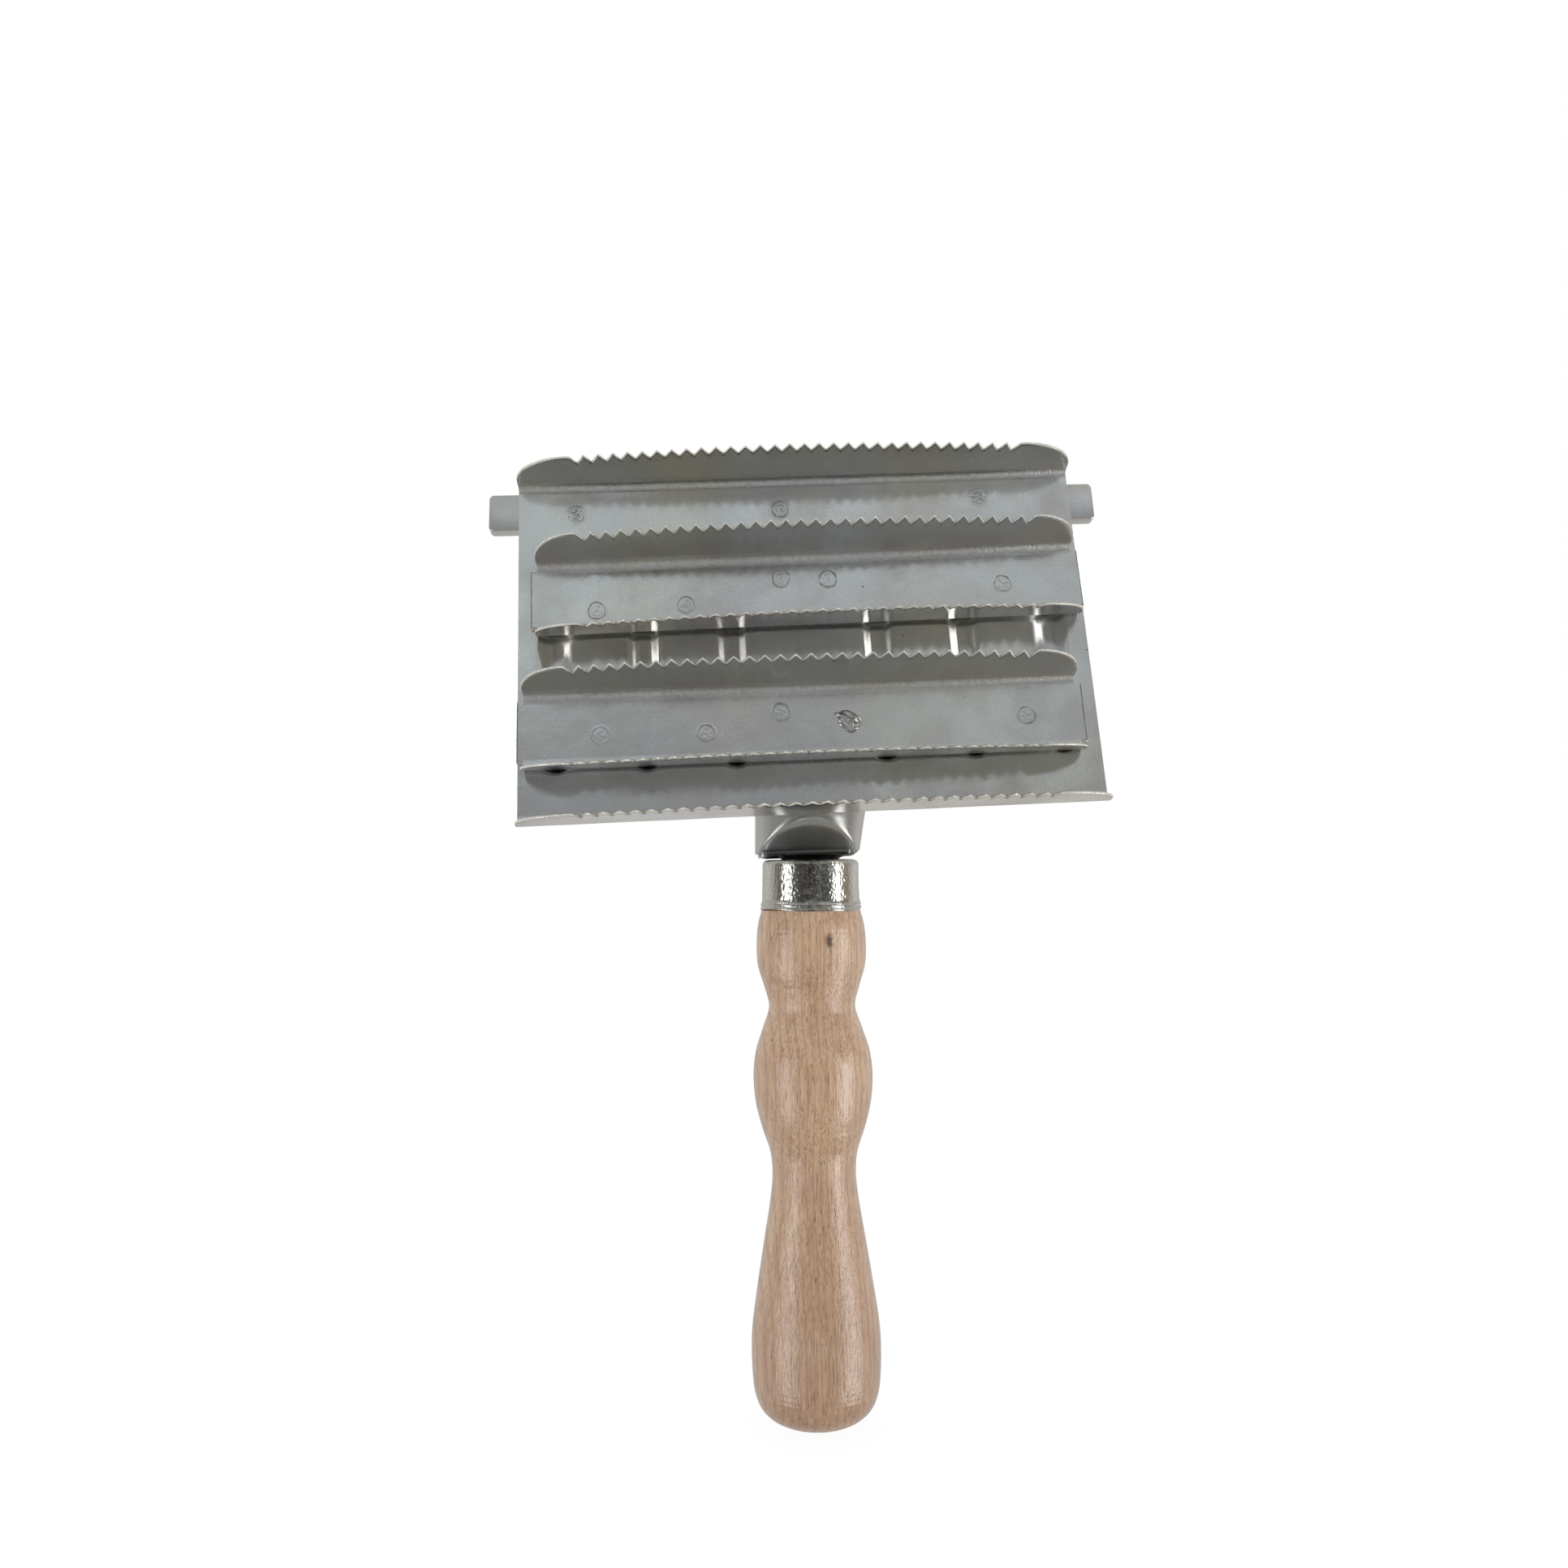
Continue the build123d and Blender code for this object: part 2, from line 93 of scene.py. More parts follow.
STRAP = 1.6                     # thickness of the bracket
TONGUE_TOP = 24.0               # heights on the bracket, in the tongue's frame, down to NECK_END
TONGUE_ROOT = -20.0
TAPER_TOP = -37.0
NECK_TOP = -41.5
NECK_END = -54.0
BRACKET_HEIGHTS = (NECK_END, TAPER_TOP, TONGUE_ROOT, TONGUE_TOP)
BRACKET_HALF = (11.5, 13.0, 11.5, 11.5)         # half widths at those heights
BRACKET_SHIFT = (-1.1, 0.5, 0.0, 0.0)           # how far right of the axis the middle is there
WALL_HEIGHTS = (NECK_END, NECK_TOP, TONGUE_ROOT)
WALL_DEPTH = (21.0, 14.5, 0.3)                  # how far back the side walls reach at those heights
TONGUE_TAPER = (4.0, 0.28)      # near its top the tongue loses this share of its width
RELIEF_APEX = 8.7
RELIEF_ANGLE = radians(47.0)
RELIEF_FOOT = 4.5
RELIEF_ROUNDING = (0.12, 1.2)   # how soft the relief's edge is at its foot and at its apex
LIP_BOTTOM = 0.85
LIP_TILT = tan(radians(1.5))
LIP_BACK = 8.5
LIP_THICKNESS = 1.4
LIP_RADIUS = 10.7
LIP_CENTRE = (-1.05, 1.3)
CORNER_LIFT = 1.1               # the neck's lower corners end this much higher than the lip
BORE = 2.5                      # radius of the hole for the tang
BOSS_RADIUS = 6.6
BOSS_FLARE = 1.7

FERRULE_TOP_RADIUS = 10.95
FERRULE_LOW_RADIUS = 11.1
FERRULE_SHOULDER = 1.1
FERRULE_LIP = (
    (11.13, -9.3), (11.22, -9.6), (11.36, -9.85), (11.44, -10.1), (11.42, -10.35), (11.3, -10.5),
    (11.27, -10.6), (11.36, -10.72), (11.5, -10.9), (11.55, -11.1), (11.48, -11.28), (11.3, -11.36),
    (10.9, -11.38),
)
FERRULE_INSIDE = ((10.5, -9.0), (10.35, -0.6), (BORE, -0.6), (BORE, 0))
TENON = ((0.01, -0.65), (10.25, -0.65), (10.42, -8.8), (10.8, -11.2))   # radius, height
HANDLE_TURNING = (              # radius, depth below the ferrule's top
    (11.3, 11.3), (12.2, 15), (12.5, 19.5), (12.2, 24), (10.7, 29), (9.8, 33.2), (11.3, 38),
    (12.9, 43), (13.5, 48.5), (13.0, 54.5), (11.6, 60), (9.9, 65), (9.4, 69.5), (9.8, 75),
    (11.4, 85), (13.0, 95), (14.1, 103), (14.3, 108.5), (14.1, 113.5), (13.6, 117.2), (12.3, 120.2),
    (9.6, 122.3), (5.5, 123.1), (0.0, 123.3),
)

RIM_FRACTIONS = (0.13, 0.5, 0.87)       # a rim's extra points: place between front and back
RIM_BULGE = (0.75, 1.0, 0.75)           # and share of the rim's bulge

PLATE_SEED, UPPER_SEED, LOWER_SEED = 11, 21, 26
random = np.random.default_rng(7)       # raggedness of the rims


# ---- frames and smooth noise ---------------------------------------------------------------------

OUT = np.array((0.0, -cos(HEAD_LEAN), sin(HEAD_LEAN)))     # out of the working side
UP = np.array((0.0, sin(HEAD_LEAN), cos(HEAD_LEAN)))


def head_to_comb(points):
    across = np.array((cos(HEAD_SKEW), 0.0, 0.0)) + sin(HEAD_SKEW) * UP
    return HEAD_CENTRE + points @ np.array((across, np.cross(OUT, across), OUT))


def tongue_to_comb(points):
    """The bracket's tongue frame: square to the handle, z = 0 on the back face of the plate."""
    origin = HEAD_CENTRE * (0, 1, 1) - OUT * SHEET
    return origin + points @ np.array(((1.0, 0.0, 0.0), UP, OUT))


def place(points, at):
    """Set points on the plate at x, y with a small turn in the plate's plane."""
    x, y, turn = at
    c, s = cos(radians(turn)), sin(radians(turn))
    return points @ np.array(((c, s, 0), (-s, c, 0), (0, 0, 1))) + np.array((x, y, 0))


def ripple(points, wavelength, seed, waves=14):
    """Smooth noise, about -1 to 1, from plane waves in seeded directions."""
    dice = np.random.default_rng(seed)
    total = np.zeros(points.shape[:-1])
    for _ in range(waves):
        direction = dice.normal(size=3)
        direction *= 2 * pi / (wavelength * dice.uniform(0.6, 1.7) * np.linalg.norm(direction))
        total += np.sin(points @ direction + dice.uniform(0, 2 * pi))
    return total / np.sqrt(waves)


def smooth_step(value):
    t = np.clip(value, 0, 1)
    return t * t * (3 - 2 * t)


def bell(distance, width):
    """1 in the middle, falling to 0 on both sides."""
    return np.exp(-(distance / width) ** 2)


def unit(vectors):
    return vectors / np.maximum(np.linalg.norm(vectors, axis=-1, keepdims=True), 1e-12)


def soft_max(a, b, radius):
    """The larger of two values, with the crossing rounded."""
    return (a + b + np.sqrt((a - b) ** 2 + radius ** 2)) / 2


# ---- mesh helpers --------------------------------------------------------------------------------

def new_object(name, data):
    made = bpy.data.objects.new(name, data)
    bpy.context.scene.collection.objects.link(made)
    return made


def add_piece(name, points, faces, materials, nodes, second=(), masks=None):
    """Make a smooth-shaded mesh from millimetres; faces listed in second take the second material.

    masks are named values per point that the materials read."""
    mesh = bpy.data.meshes.new(name)
    mesh.from_pydata((np.asarray(points) * 0.001).tolist(), [], [list(map(int, f)) for f in faces])
    mesh.update()
    mesh.shade_smooth()
    for material in materials:
        mesh.materials.append(material)
    if len(second):
        index = np.zeros(len(mesh.polygons), np.int32)
        index[np.asarray(second)] = 1
        mesh.polygons.foreach_set("material_index", index)
    for key, values in (masks or {}).items():
        layer = mesh.attributes.new(key, "FLOAT", "POINT")
        layer.data.foreach_set("value", np.asarray(values, np.float32))
    piece = new_object(name, mesh)
    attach(piece, "root")
    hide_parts(*nodes)
    return piece


def join(parts):
    """Several (points, faces) into one."""
    points, faces, start = [], [], 0
    for part_points, part_faces in parts:
        points.append(part_points)
        faces += [[i + start for i in face] for face in part_faces]
        start += len(part_points)
    return np.vstack(points), faces


def grid_normals(points):
    """Unit normals of a grid of points, column direction crossed with row direction."""
    along = np.gradient(points, axis=0)
    up = np.gradient(points, axis=1)
    return unit(np.cross(along, up))


def shell(front, back, keep, bulge, burr):
    """Closed sheet between two grids of points, with a rounded, slightly ragged rim.

    keep says which grid faces exist. Returns points, faces, the numbers of the rim's faces, and for
    every point the grid point it came from."""
    columns, rows = front.shape[:2]
    index = np.arange(columns * rows).reshape(columns, rows)
    quads = np.stack((index[:-1, :-1], index[1:, :-1], index[1:, 1:], index[:-1, 1:]), -1)[keep]
    edges = np.concatenate([quads[:, (i, (i + 1) % 4)] for i in range(4)])
    total = columns * rows
    code = edges[:, 0] * total + edges[:, 1]
    border = edges[~np.isin(code, edges[:, 1] * total + edges[:, 0])]

    flat_front = front.reshape(-1, 3)
    flat_back = back.reshape(-1, 3)
    through = unit(flat_front - flat_back)
    outward = np.zeros_like(flat_front)
    along = flat_front[border[:, 1]] - flat_front[border[:, 0]]
    side = unit(np.cross(along, through[border[:, 0]]))
    np.add.at(outward, border[:, 0], side)
    np.add.at(outward, border[:, 1], side)
    outward = unit(outward)

    rim = np.unique(border)
    place_of = np.zeros(total, int)
    place_of[rim] = np.arange(len(rim))
    points = [flat_front, flat_back]
    for fraction, height in zip(RIM_FRACTIONS, RIM_BULGE):
        ragged = burr * random.normal(size=(len(rim), 1))
        layer = flat_front[rim] * (1 - fraction) + flat_back[rim] * fraction
        points.append(layer + outward[rim] * (bulge * height + ragged))
    points = np.concatenate(points)

    a, b = border[:, 0], border[:, 1]
    starts = [2 * total + layer * len(rim) for layer in range(len(RIM_FRACTIONS))]
    loops = [(a, b)] + [(start + place_of[a], start + place_of[b]) for start in starts]
    loops.append((total + a, total + b))
    strips = [np.stack((q[1], q[0], r[0], r[1]), -1) for q, r in zip(loops, loops[1:])]
    rim_faces = np.concatenate(strips)
    faces = np.concatenate((quads, total + quads[:, ::-1], rim_faces))
    used, compact = np.unique(faces, return_inverse=True)
    faces = compact.reshape(faces.shape)
    everywhere = np.arange(total)
    source = np.concatenate((everywhere, everywhere) + (rim,) * len(RIM_FRACTIONS))[used]
    return points[used], faces, np.arange(len(faces) - len(rim_faces), len(faces)), source


def catmull_rom(knots, steps):
    """A smooth curve through the knots."""
    knots = np.asarray(knots, float)
    padded = np.vstack((2 * knots[0] - knots[1], knots, 2 * knots[-1] - knots[-2]))
    t = np.linspace(0, 1, steps, endpoint=False)[:, None]
    curve = []
    for p0, p1, p2, p3 in zip(padded, padded[1:], padded[2:], padded[3:]):
        curve.append(0.5 * (2 * p1 + (p2 - p0) * t + (2 * p0 - 5 * p1 + 4 * p2 - p3) * t ** 2
                            + (3 * p1 - p0 - 3 * p2 + p3) * t ** 3))
    return np.vstack(curve + [knots[-1:]])


def ring_faces(segments, rows):
    """Quads between neighbouring columns of a closed ring, and the numbers of its points."""
    index = np.arange(segments * rows).reshape(segments, rows)
    following = np.roll(index, -1, axis=0)
    faces = np.stack((index[:, :-1], index[:, 1:], following[:, 1:], following[:, :-1]), -1)
    return faces.reshape(-1, 4).tolist(), index


def lathe(profile, segments, shift=None):
    """Turn a profile of (radius, height) round the handle's axis. shift moves the points a little.

    The profile runs down its outside, so that the faces look outward."""
    profile = np.asarray(profile, float)
    angle = np.linspace(0, 2 * pi, segments, endpoint=False)[:, None]
    radius, height = profile[None, :, 0], profile[None, :, 1]
    points = np.stack((radius * np.cos(angle), radius * np.sin(angle), height + 0 * angle), -1)
    if shift is not None:
        points = shift(points)
    faces, _ = ring_faces(segments, len(profile))
    return points.reshape(-1, 3), faces


# ---- toothed sheets ------------------------------------------------------------------------------

TOOTH_STEPS = (0, 0.03, 0.08, 0.18, 0.3, 0.41, 0.47, 0.5, 0.53, 0.59, 0.7, 0.82, 0.92, 0.97)
END_STEPS = 18
FLANGE_STEPS = (1, 0.995, 0.98, 0.95, 0.91, 0.86, 0.79, 0.7, 0.6, 0.49, 0.37, 0.24, 0.11, 0)
BEND_STEPS = 9
PLATE_FLOOR_STEP, CHANNEL_FLOOR_STEP = 0.5, 0.8
FLOOR_MARGIN = 0.3              # spacing of the columns at the ends of a channel's floor

TIP_BLUNTNESS = 0.045           # share of half a pitch over which tips and valleys are rounded
TIP_SPREAD = 0.06               # how unevenly high the tips are
SHEET_WAVES = ((0.03, 26), (0.008, 7))  # height and length of the sheet's unevenness
RIM_ROLL = (0.1, 0.16)          # the cut edge is this much thinner, over this distance
RIM_BULGE_AND_BURR = (0.07, 0.02)
VALLEY_SHADE = 0.5               # how far the painted shade reaches from a valley
FAR_FROM_RIM = 99.0
SHEET_GAP = 0.02                # between the plate and what lies on it


def grid_columns(flange_half, floor_half):
    """x of the columns: close together at tips and valleys, then round the flange's end curve."""
    teeth = [(i + f) * PITCH - ROW_HALF for i in range(TIPS - 1) for f in TOOTH_STEPS] + [ROW_HALF]
    turn = np.linspace(0, pi / 2, END_STEPS + 1)[1:]
    end = ROW_HALF + (flange_half - ROW_HALF) * np.sin(turn)
    if floor_half > flange_half:
        end = np.append(end, (flange_half + FLOOR_MARGIN, floor_half - FLOOR_MARGIN, floor_half))
    return np.concatenate((-end[::-1], teeth, end))


def flange_height(x, end_height, flange_half, seed):
    """Height of the cut edge along a row: teeth, then the rounded end."""
    crowned = end_height + CROWN * (1 - (x / ROW_HALF) ** 2)
    along = (x + ROW_HALF) / PITCH
    ramp = 2 * np.abs(along - np.round(along))
    ramp = np.sqrt(ramp ** 2 + TIP_BLUNTNESS ** 2) - TIP_BLUNTNESS
    ramp = 1 + TIP_BLUNTNESS - np.sqrt((1 - ramp) ** 2 + TIP_BLUNTNESS ** 2)
    dice = np.random.default_rng(seed)
    uneven = dice.normal(0, TIP_SPREAD, TIPS + 1)[np.clip(np.round(along), 0, TIPS).astype(int)]
    teeth = crowned - TOOTH_DEPTH * ramp + uneven * (1 - ramp)
    reach = flange_half - ROW_HALF
    beyond = np.clip((np.abs(x) - ROW_HALF) / reach, 0, 1)
    end = CORNER_START + (end_height - CORNER_START) * np.sqrt(1 - beyond ** 2)
    return np.where(np.abs(x) <= ROW_HALF, teeth, end)


def groove_drop(x, y):
    """How far the pressed grooves push the plate back."""
    drop = np.zeros_like(x)
    low, high = GROOVE_ENDS
    sink, reach, end_reach = GROOVE_DRAW
    fade_from, fade_over = DRAW_FADE
    fade = smooth_step((y - fade_from) / fade_over)
    for centre in GROOVE_X + tuple(-g for g in GROOVE_X):
        half = GROOVE_FLOOR + GROOVE_WALL
        beyond = np.maximum(np.maximum(low + half - y, y - high + half), 0)
        distance = np.sqrt((x - centre) ** 2 + beyond ** 2)
        drop += GROOVE_DEPTH * (1 - smooth_step((distance - GROOVE_FLOOR) / GROOVE_WALL))
        drop += sink * fade * bell(x - centre, reach) * bell(beyond, end_reach)
    return drop


def sheet_ripple(points, seed):
    """Unevenness of the rolled sheet."""
    (long_height, long_wave), (short_height, short_wave) = SHEET_WAVES
    return (long_height * ripple(points, long_wave, seed + 5)
            + short_height * ripple(points, short_wave, seed + 6))


def toothed_sheet(corner, low_row, high_row, flange_half, floor_half, floor_step, bow, seed, grooves):
    """Strip with a toothed flange on both long edges.

    Returns its working and back faces as grids, which grid faces exist, and the masks for its look."""
    x = grid_columns(flange_half, floor_half)
    crown_share = 1 - (x / ROW_HALF) ** 2
    sides = []
    for number, (height, lean_degrees) in enumerate((low_row, high_row)):
        height = flange_height(x, height, flange_half, seed + number)
        lean = radians(lean_degrees) - bow * np.clip(crown_share, 0, 1) / (height + 1)
        tangent = BEND_INSIDE * np.cos(lean) / (1 + np.sin(lean))
        sides.append((height, lean, tangent))

    def flange_rows(height, lean, tangent):
        """Distance out from the inner corner and height above the floor, from the rim to the floor."""
        out, up = [], []
        for step in FLANGE_STEPS:
            along = tangent + (height - tangent) * step
            out.append(along * np.sin(lean))
            up.append(along * np.cos(lean))
        for step in range(1, BEND_STEPS + 1):
            turn = (pi / 2 - lean) * (1 - step / BEND_STEPS)
            out.append(-tangent + BEND_INSIDE * np.sin(turn))
            up.append(BEND_INSIDE * (1 - np.cos(turn)))
        return np.array(out), np.array(up)

    low_out, low_up = flange_rows(*sides[0])
    high_out, high_up = flange_rows(*sides[1])
    low_y = -corner - low_out
    high_y = corner + high_out[::-1]
    inner_rows = int(2 * corner / floor_step)
    share = np.linspace(0, 1, inner_rows + 1)[1:-1, None]
    floor_y = low_y[-1] + (high_y[0] - low_y[-1]) * share
    y = np.vstack((low_y, floor_y, high_y)).T
    z = np.vstack((low_up, 0 * floor_y, high_up[::-1])).T
    front = np.stack((np.repeat(x[:, None], y.shape[1], 1), y, z), -1)
    if grooves:
        front[..., 2] -= groove_drop(front[..., 0], front[..., 1])
    front += grid_normals(front) * sheet_ripple(front, seed)[..., None]

    from_rim = np.full(front.shape[:2], FAR_FROM_RIM)
    bend = np.zeros(front.shape[:2])
    for (height, _, tangent), order in ((sides[0], slice(None)), (sides[1], slice(None, None, -1))):
        for row, step in enumerate(FLANGE_STEPS):
            from_rim[:, order][:, row] = (1 - step) * (height - tangent)
        first = len(FLANGE_STEPS) - 1
        for row in range(BEND_STEPS + 1):
            bend[:, order][:, first + row] = sin(pi * (row + 0.6) / (BEND_STEPS + 1.2)) ** 0.7
    normal = grid_normals(front)
    thinner, near = RIM_ROLL
    rolled = thinner * bell(from_rim, near)
    back = front - normal * (SHEET - rolled)[..., None]
    front = front - normal * rolled[..., None]

    # Painted shade: darker in the tooth valleys next to the rim, and along the ends of a channel's floor
    # where it lies on the plate.
    along = (x + ROW_HALF) / PITCH
    valley = 2 * np.abs(along - np.round(along)) * (np.abs(x) < ROW_HALF)
    dirt_and_shade = np.clip(valley, 0, 1)[:, None] ** 3 * bell(from_rim, VALLEY_SHADE)
    end = np.abs(x)[:, None] == floor_half
    dirt_and_shade = np.maximum(dirt_and_shade, end * (from_rim == FAR_FROM_RIM) * (floor_half > flange_half))

    keep = np.ones((front.shape[0] - 1, front.shape[1] - 1), bool)
    if floor_half > flange_half:
        edge = len(FLANGE_STEPS) + BEND_STEPS - 1
        keep[:3, :edge] = keep[:3, -edge:] = False
        keep[-3:, :edge] = keep[-3:, -edge:] = False
    return front, back, keep, {"bend": bend, "dirt_and_shade": dirt_and_shade}


def add_sheet(name, node, sheet, lift, at):
    """Close a sheet's two faces and set it on the plate, lifted off it and placed at x, y and turn."""
    front, back, keep, masks = sheet
    points, faces, rim, source = shell(front, back, keep, *RIM_BULGE_AND_BURR)
    masks = {key: mask.reshape(-1)[source] for key, mask in masks.items()}
    points = head_to_comb(place(points + np.array((0, 0, lift)), at))
    add_piece(name, points, faces, (ZINC, SHEARED), (node,), rim, masks)


def make_plate():
    sheet = toothed_sheet(
        PLATE_CORNER, BOTTOM_ROW, TOP_ROW, PLATE_HALF, PLATE_HALF, PLATE_FLOOR_STEP, 0.0, PLATE_SEED, True)
    add_sheet("plate_sheet", "back_plate", sheet, 0.0, (0, 0, 0))


def make_channel(name, node, at, seed):
    sheet = toothed_sheet(
        CHANNEL_CORNER, CHANNEL_ROW, CHANNEL_ROW, CHANNEL_FLANGE_HALF, CHANNEL_HALF, CHANNEL_FLOOR_STEP,
        CHANNEL_BOW, seed, False)
    add_sheet(name, node, sheet, SHEET + SHEET_GAP, at)


# ---- welds ---------------------------------------------------------------------------------------

ELECTRODE = 2.0                 # radius of a spot weld's ring
RING_CREST = (0.095, 0.15)      # height and width
RING_TROUGH = (0.05, 0.2)       # depth and width, just inside the crest
SCRAWL_HEIGHT = 0.02
SPOT_RISE = (0.03, 0.004)       # of the mark's middle and of its rim over the sheet
SPOT_REACH = 2.9

BEAD_RADIUS = 2.55
BEAD_RISE = (0.06, 0.42)        # of its edge and of its dome
BEAD_RIDGE = (0.42, 0.38, 2.1)  # height, width, length
BEAD_TAIL = (0.3, 0.22, 1.2)
BEAD_HOLE = (1.3, -0.9)
BEAD_HOLE_RADIUS = 0.5657
RIDGE_TURN = (0.89, -0.46)      # the ridge runs down to the right in this direction


def polar_patch(centre, reach, rings, segments, height):
    """Round patch whose height is a function of its local x and y."""
    radius = reach * np.linspace(0.02, 1, rings)[None, :]
    angle = np.linspace(0, 2 * pi, segments, endpoint=False)[:, None]
    x, y = radius * np.cos(angle), radius * np.sin(angle)
    z = height(x, y)
    points = np.stack((x + centre[0], y + centre[1], z), -1).reshape(-1, 3)
    faces, index = ring_faces(segments, rings)
    return points, faces + [index[:, 0].tolist()[::-1]]


def floor_under(x, y, at, seed):
    """Height of the uneven sheet under a point of the plate; at says where the sheet is placed."""
    turn = radians(at[2])
    dx, dy = x - at[0], y - at[1]
    local = np.stack((dx * cos(turn) + dy * sin(turn), dy * cos(turn) - dx * sin(turn), 0 * x), -1)
    return sheet_ripple(local, seed)


def spot_weld(x, y, level, at, sheet_seed, ring, scrawl, seed):
    """Electrode mark: a low uneven ring, strong or faint, round a scrawled floor."""
    def height(px, py):
        radius = np.hypot(px, py)
        spot = np.stack((px, py, 0 * px), -1)
        wobbly = radius + 0.07 * ripple(spot, 3.0, seed)
        uneven = 0.65 + 0.35 * ripple(spot, 2.4, seed + 1)
        crest = RING_CREST[0] * ring * bell(wobbly - ELECTRODE, RING_CREST[1]) * uneven
        trough = RING_TROUGH[0] * ring * bell(wobbly - ELECTRODE + 0.38, RING_TROUGH[1])
        middle = 1 - smooth_step((radius - 1.3) / 0.9)
        marks = SCRAWL_HEIGHT * scrawl * ripple(spot, 0.8, seed + 2) * middle
        nub = 0.05 * scrawl * bell(np.hypot(px - 0.25, py + 0.1), 0.22)
        rise = SPOT_RISE[0] * (1 - smooth_step((radius - ELECTRODE - 0.1) / 0.7)) + SPOT_RISE[1]
        return level + floor_under(px + x, py + y, at, sheet_seed) + rise + crest - trough + marks + nub
    points, faces = polar_patch((x, y), SPOT_REACH, 34, 60, height)
    radius = np.hypot(points[:, 0] - x, points[:, 1] - y)
    outline = 0.55 * min(ring, 1) * bell(radius - ELECTRODE + 0.15, 0.16)
    scribble = 0.3 * min(scrawl, 1.6) * (np.abs(ripple(points, 1.1, seed + 3)) < 0.12) * (radius < 1.7)
    return points, faces, np.maximum(outline, scribble)


def make_spot_welds(name, node, spots, marks, level, at, sheet_seed, seed):
    parts = []
    for number, ((x, y), (ring, scrawl)) in enumerate(zip(spots, marks)):
        parts.append(spot_weld(x, y, level, at, sheet_seed, ring, scrawl, seed + 10 * number))
    points, faces = join([part[:2] for part in parts])
    masks = {"dirt_and_shade": np.concatenate([part[2] for part in parts])}
    add_piece(name, head_to_comb(points), faces, (WELD_MARK,), (node,), (), masks)


def make_plug_weld():
    """Lumpy bead with a ridge running down to the right and a blowhole beside it."""
    def height(px, py):
        radius = np.hypot(px, py)
        spot = np.stack((px, py, 0 * px), -1)
        down, aside = RIDGE_TURN
        along = px * down + py * aside
        across = py * down - px * aside
        upward = np.clip(-along / np.maximum(radius, 0.1), 0, 1)
        outline = BEAD_RADIUS + 0.25 * ripple(spot, 4.0, 91) + 0.8 * upward ** 3
        edge, top = BEAD_RISE
        dome = edge + top * np.sqrt(np.clip(1 - (radius / outline) ** 2, 0, 1))
        lumps = 0.10 * ripple(spot, 1.7, 92) + 0.02 * ripple(spot, 0.8, 93)

        def bar(size, start):
            rise, width, length = size
            return rise * bell(across - 0.25, width) * np.exp(-((along + start) / length) ** 4)
        hole = 0.75 * bell(np.hypot(px - BEAD_HOLE[0], py - BEAD_HOLE[1]), BEAD_HOLE_RADIUS)
        inside = smooth_step((outline - radius) / 0.5)
        floor = SHEET + floor_under(px + PLUG_WELD[0], py + PLUG_WELD[1], LOWER_CHANNEL_AT, LOWER_SEED)
        raised = dome + lumps + bar(BEAD_RIDGE, 0.3) - hole
        return floor + 0.005 + bar(BEAD_TAIL, 2.9) + inside * raised
    points, faces = polar_patch(PLUG_WELD, 4.4, 60, 110, height)
    radius = np.hypot(points[:, 0] - PLUG_WELD[0], points[:, 1] - PLUG_WELD[1])
    masks = {"dirt_and_shade": 0.8 * bell(radius - BEAD_RADIUS - 0.2, 0.28)}
    add_piece("plug_weld_bead", head_to_comb(points), faces, (WELD_BEAD,), ("plug_weld",),
              (), masks)


# ---- knocker bar ---------------------------------------------------------------------------------

def make_knocker_bar():
    """Flat bar with sheared, softened corners.

    bmesh hands out its faces in no fixed order, so they are sorted to make every run the same."""
    length, width, thickness = KNOCKER_SIZE
    corner, softened = KNOCKER_CORNERS
    work = bmesh.new()
    bmesh.ops.create_cube(work, size=1)
    bmesh.ops.scale(work, vec=(length, width, thickness), verts=work.verts)
    upright = [e for e in work.edges if abs(e.verts[0].co.z - e.verts[1].co.z) > 1]
    bmesh.ops.bevel(work, geom=upright, offset=corner, segments=5, profile=0.5, affect="EDGES")
    flat = [e for e in work.edges if abs(e.verts[0].co.z - e.verts[1].co.z) < 0.01]
    bmesh.ops.bevel(work, geom=flat, offset=softened, segments=3, profile=0.5, affect="EDGES")
    long_edges = [e for e in work.edges if abs(e.verts[0].co.x - e.verts[1].co.x) > 20]
    bmesh.ops.subdivide_edges(work, edges=long_edges, cuts=60, use_grid_fill=True)
    bmesh.ops.recalc_face_normals(work, faces=work.faces)
    points = np.array([v.co for v in work.verts])
    faces = [[v.index for v in f.verts] for f in work.faces]
    firsts = [face.index(min(face)) for face in faces]
    faces = sorted(face[first:] + face[:first] for face, first in zip(faces, firsts))
    work.free()
    points[:, 2] += 0.05 * ripple(points * (1, 0, 0), 60, 31)
    points[:, 1] += 0.06 * ripple(points * (1, 0, 0), 45, 32)
    points = place(points + np.array((0, 0, -SHEET - thickness / 2 - SHEET_GAP)), KNOCKER_AT)
    add_piece("knocker_bar_steel", head_to_comb(points), faces, (ZINC_BAR,), ("knocker_bar",))


# ---- bracket -------------------------------------------------------------------------------------

FLAT_BULGE = 0.15               # even the flat tongue is bent by this much
ARC_STEPS, WALL_STEPS = 61, 8


def bracket_sizes(v):
    """Half width, shift, bulge and wall depth of the bracket's section at height v on the tongue."""
    curl = smooth_step((TONGUE_ROOT - v) / (TONGUE_ROOT - NECK_TOP))
    half = np.interp(v, BRACKET_HEIGHTS, BRACKET_HALF)
    shift = np.interp(v, BRACKET_HEIGHTS, BRACKET_SHIFT)
    bulge = np.where(v < NECK_TOP, half, FLAT_BULGE + (half - FLAT_BULGE) * curl)
    depth = np.interp(v, WALL_HEIGHTS, WALL_DEPTH)
    return half, shift, bulge, np.maximum(depth, bulge + 0.05)


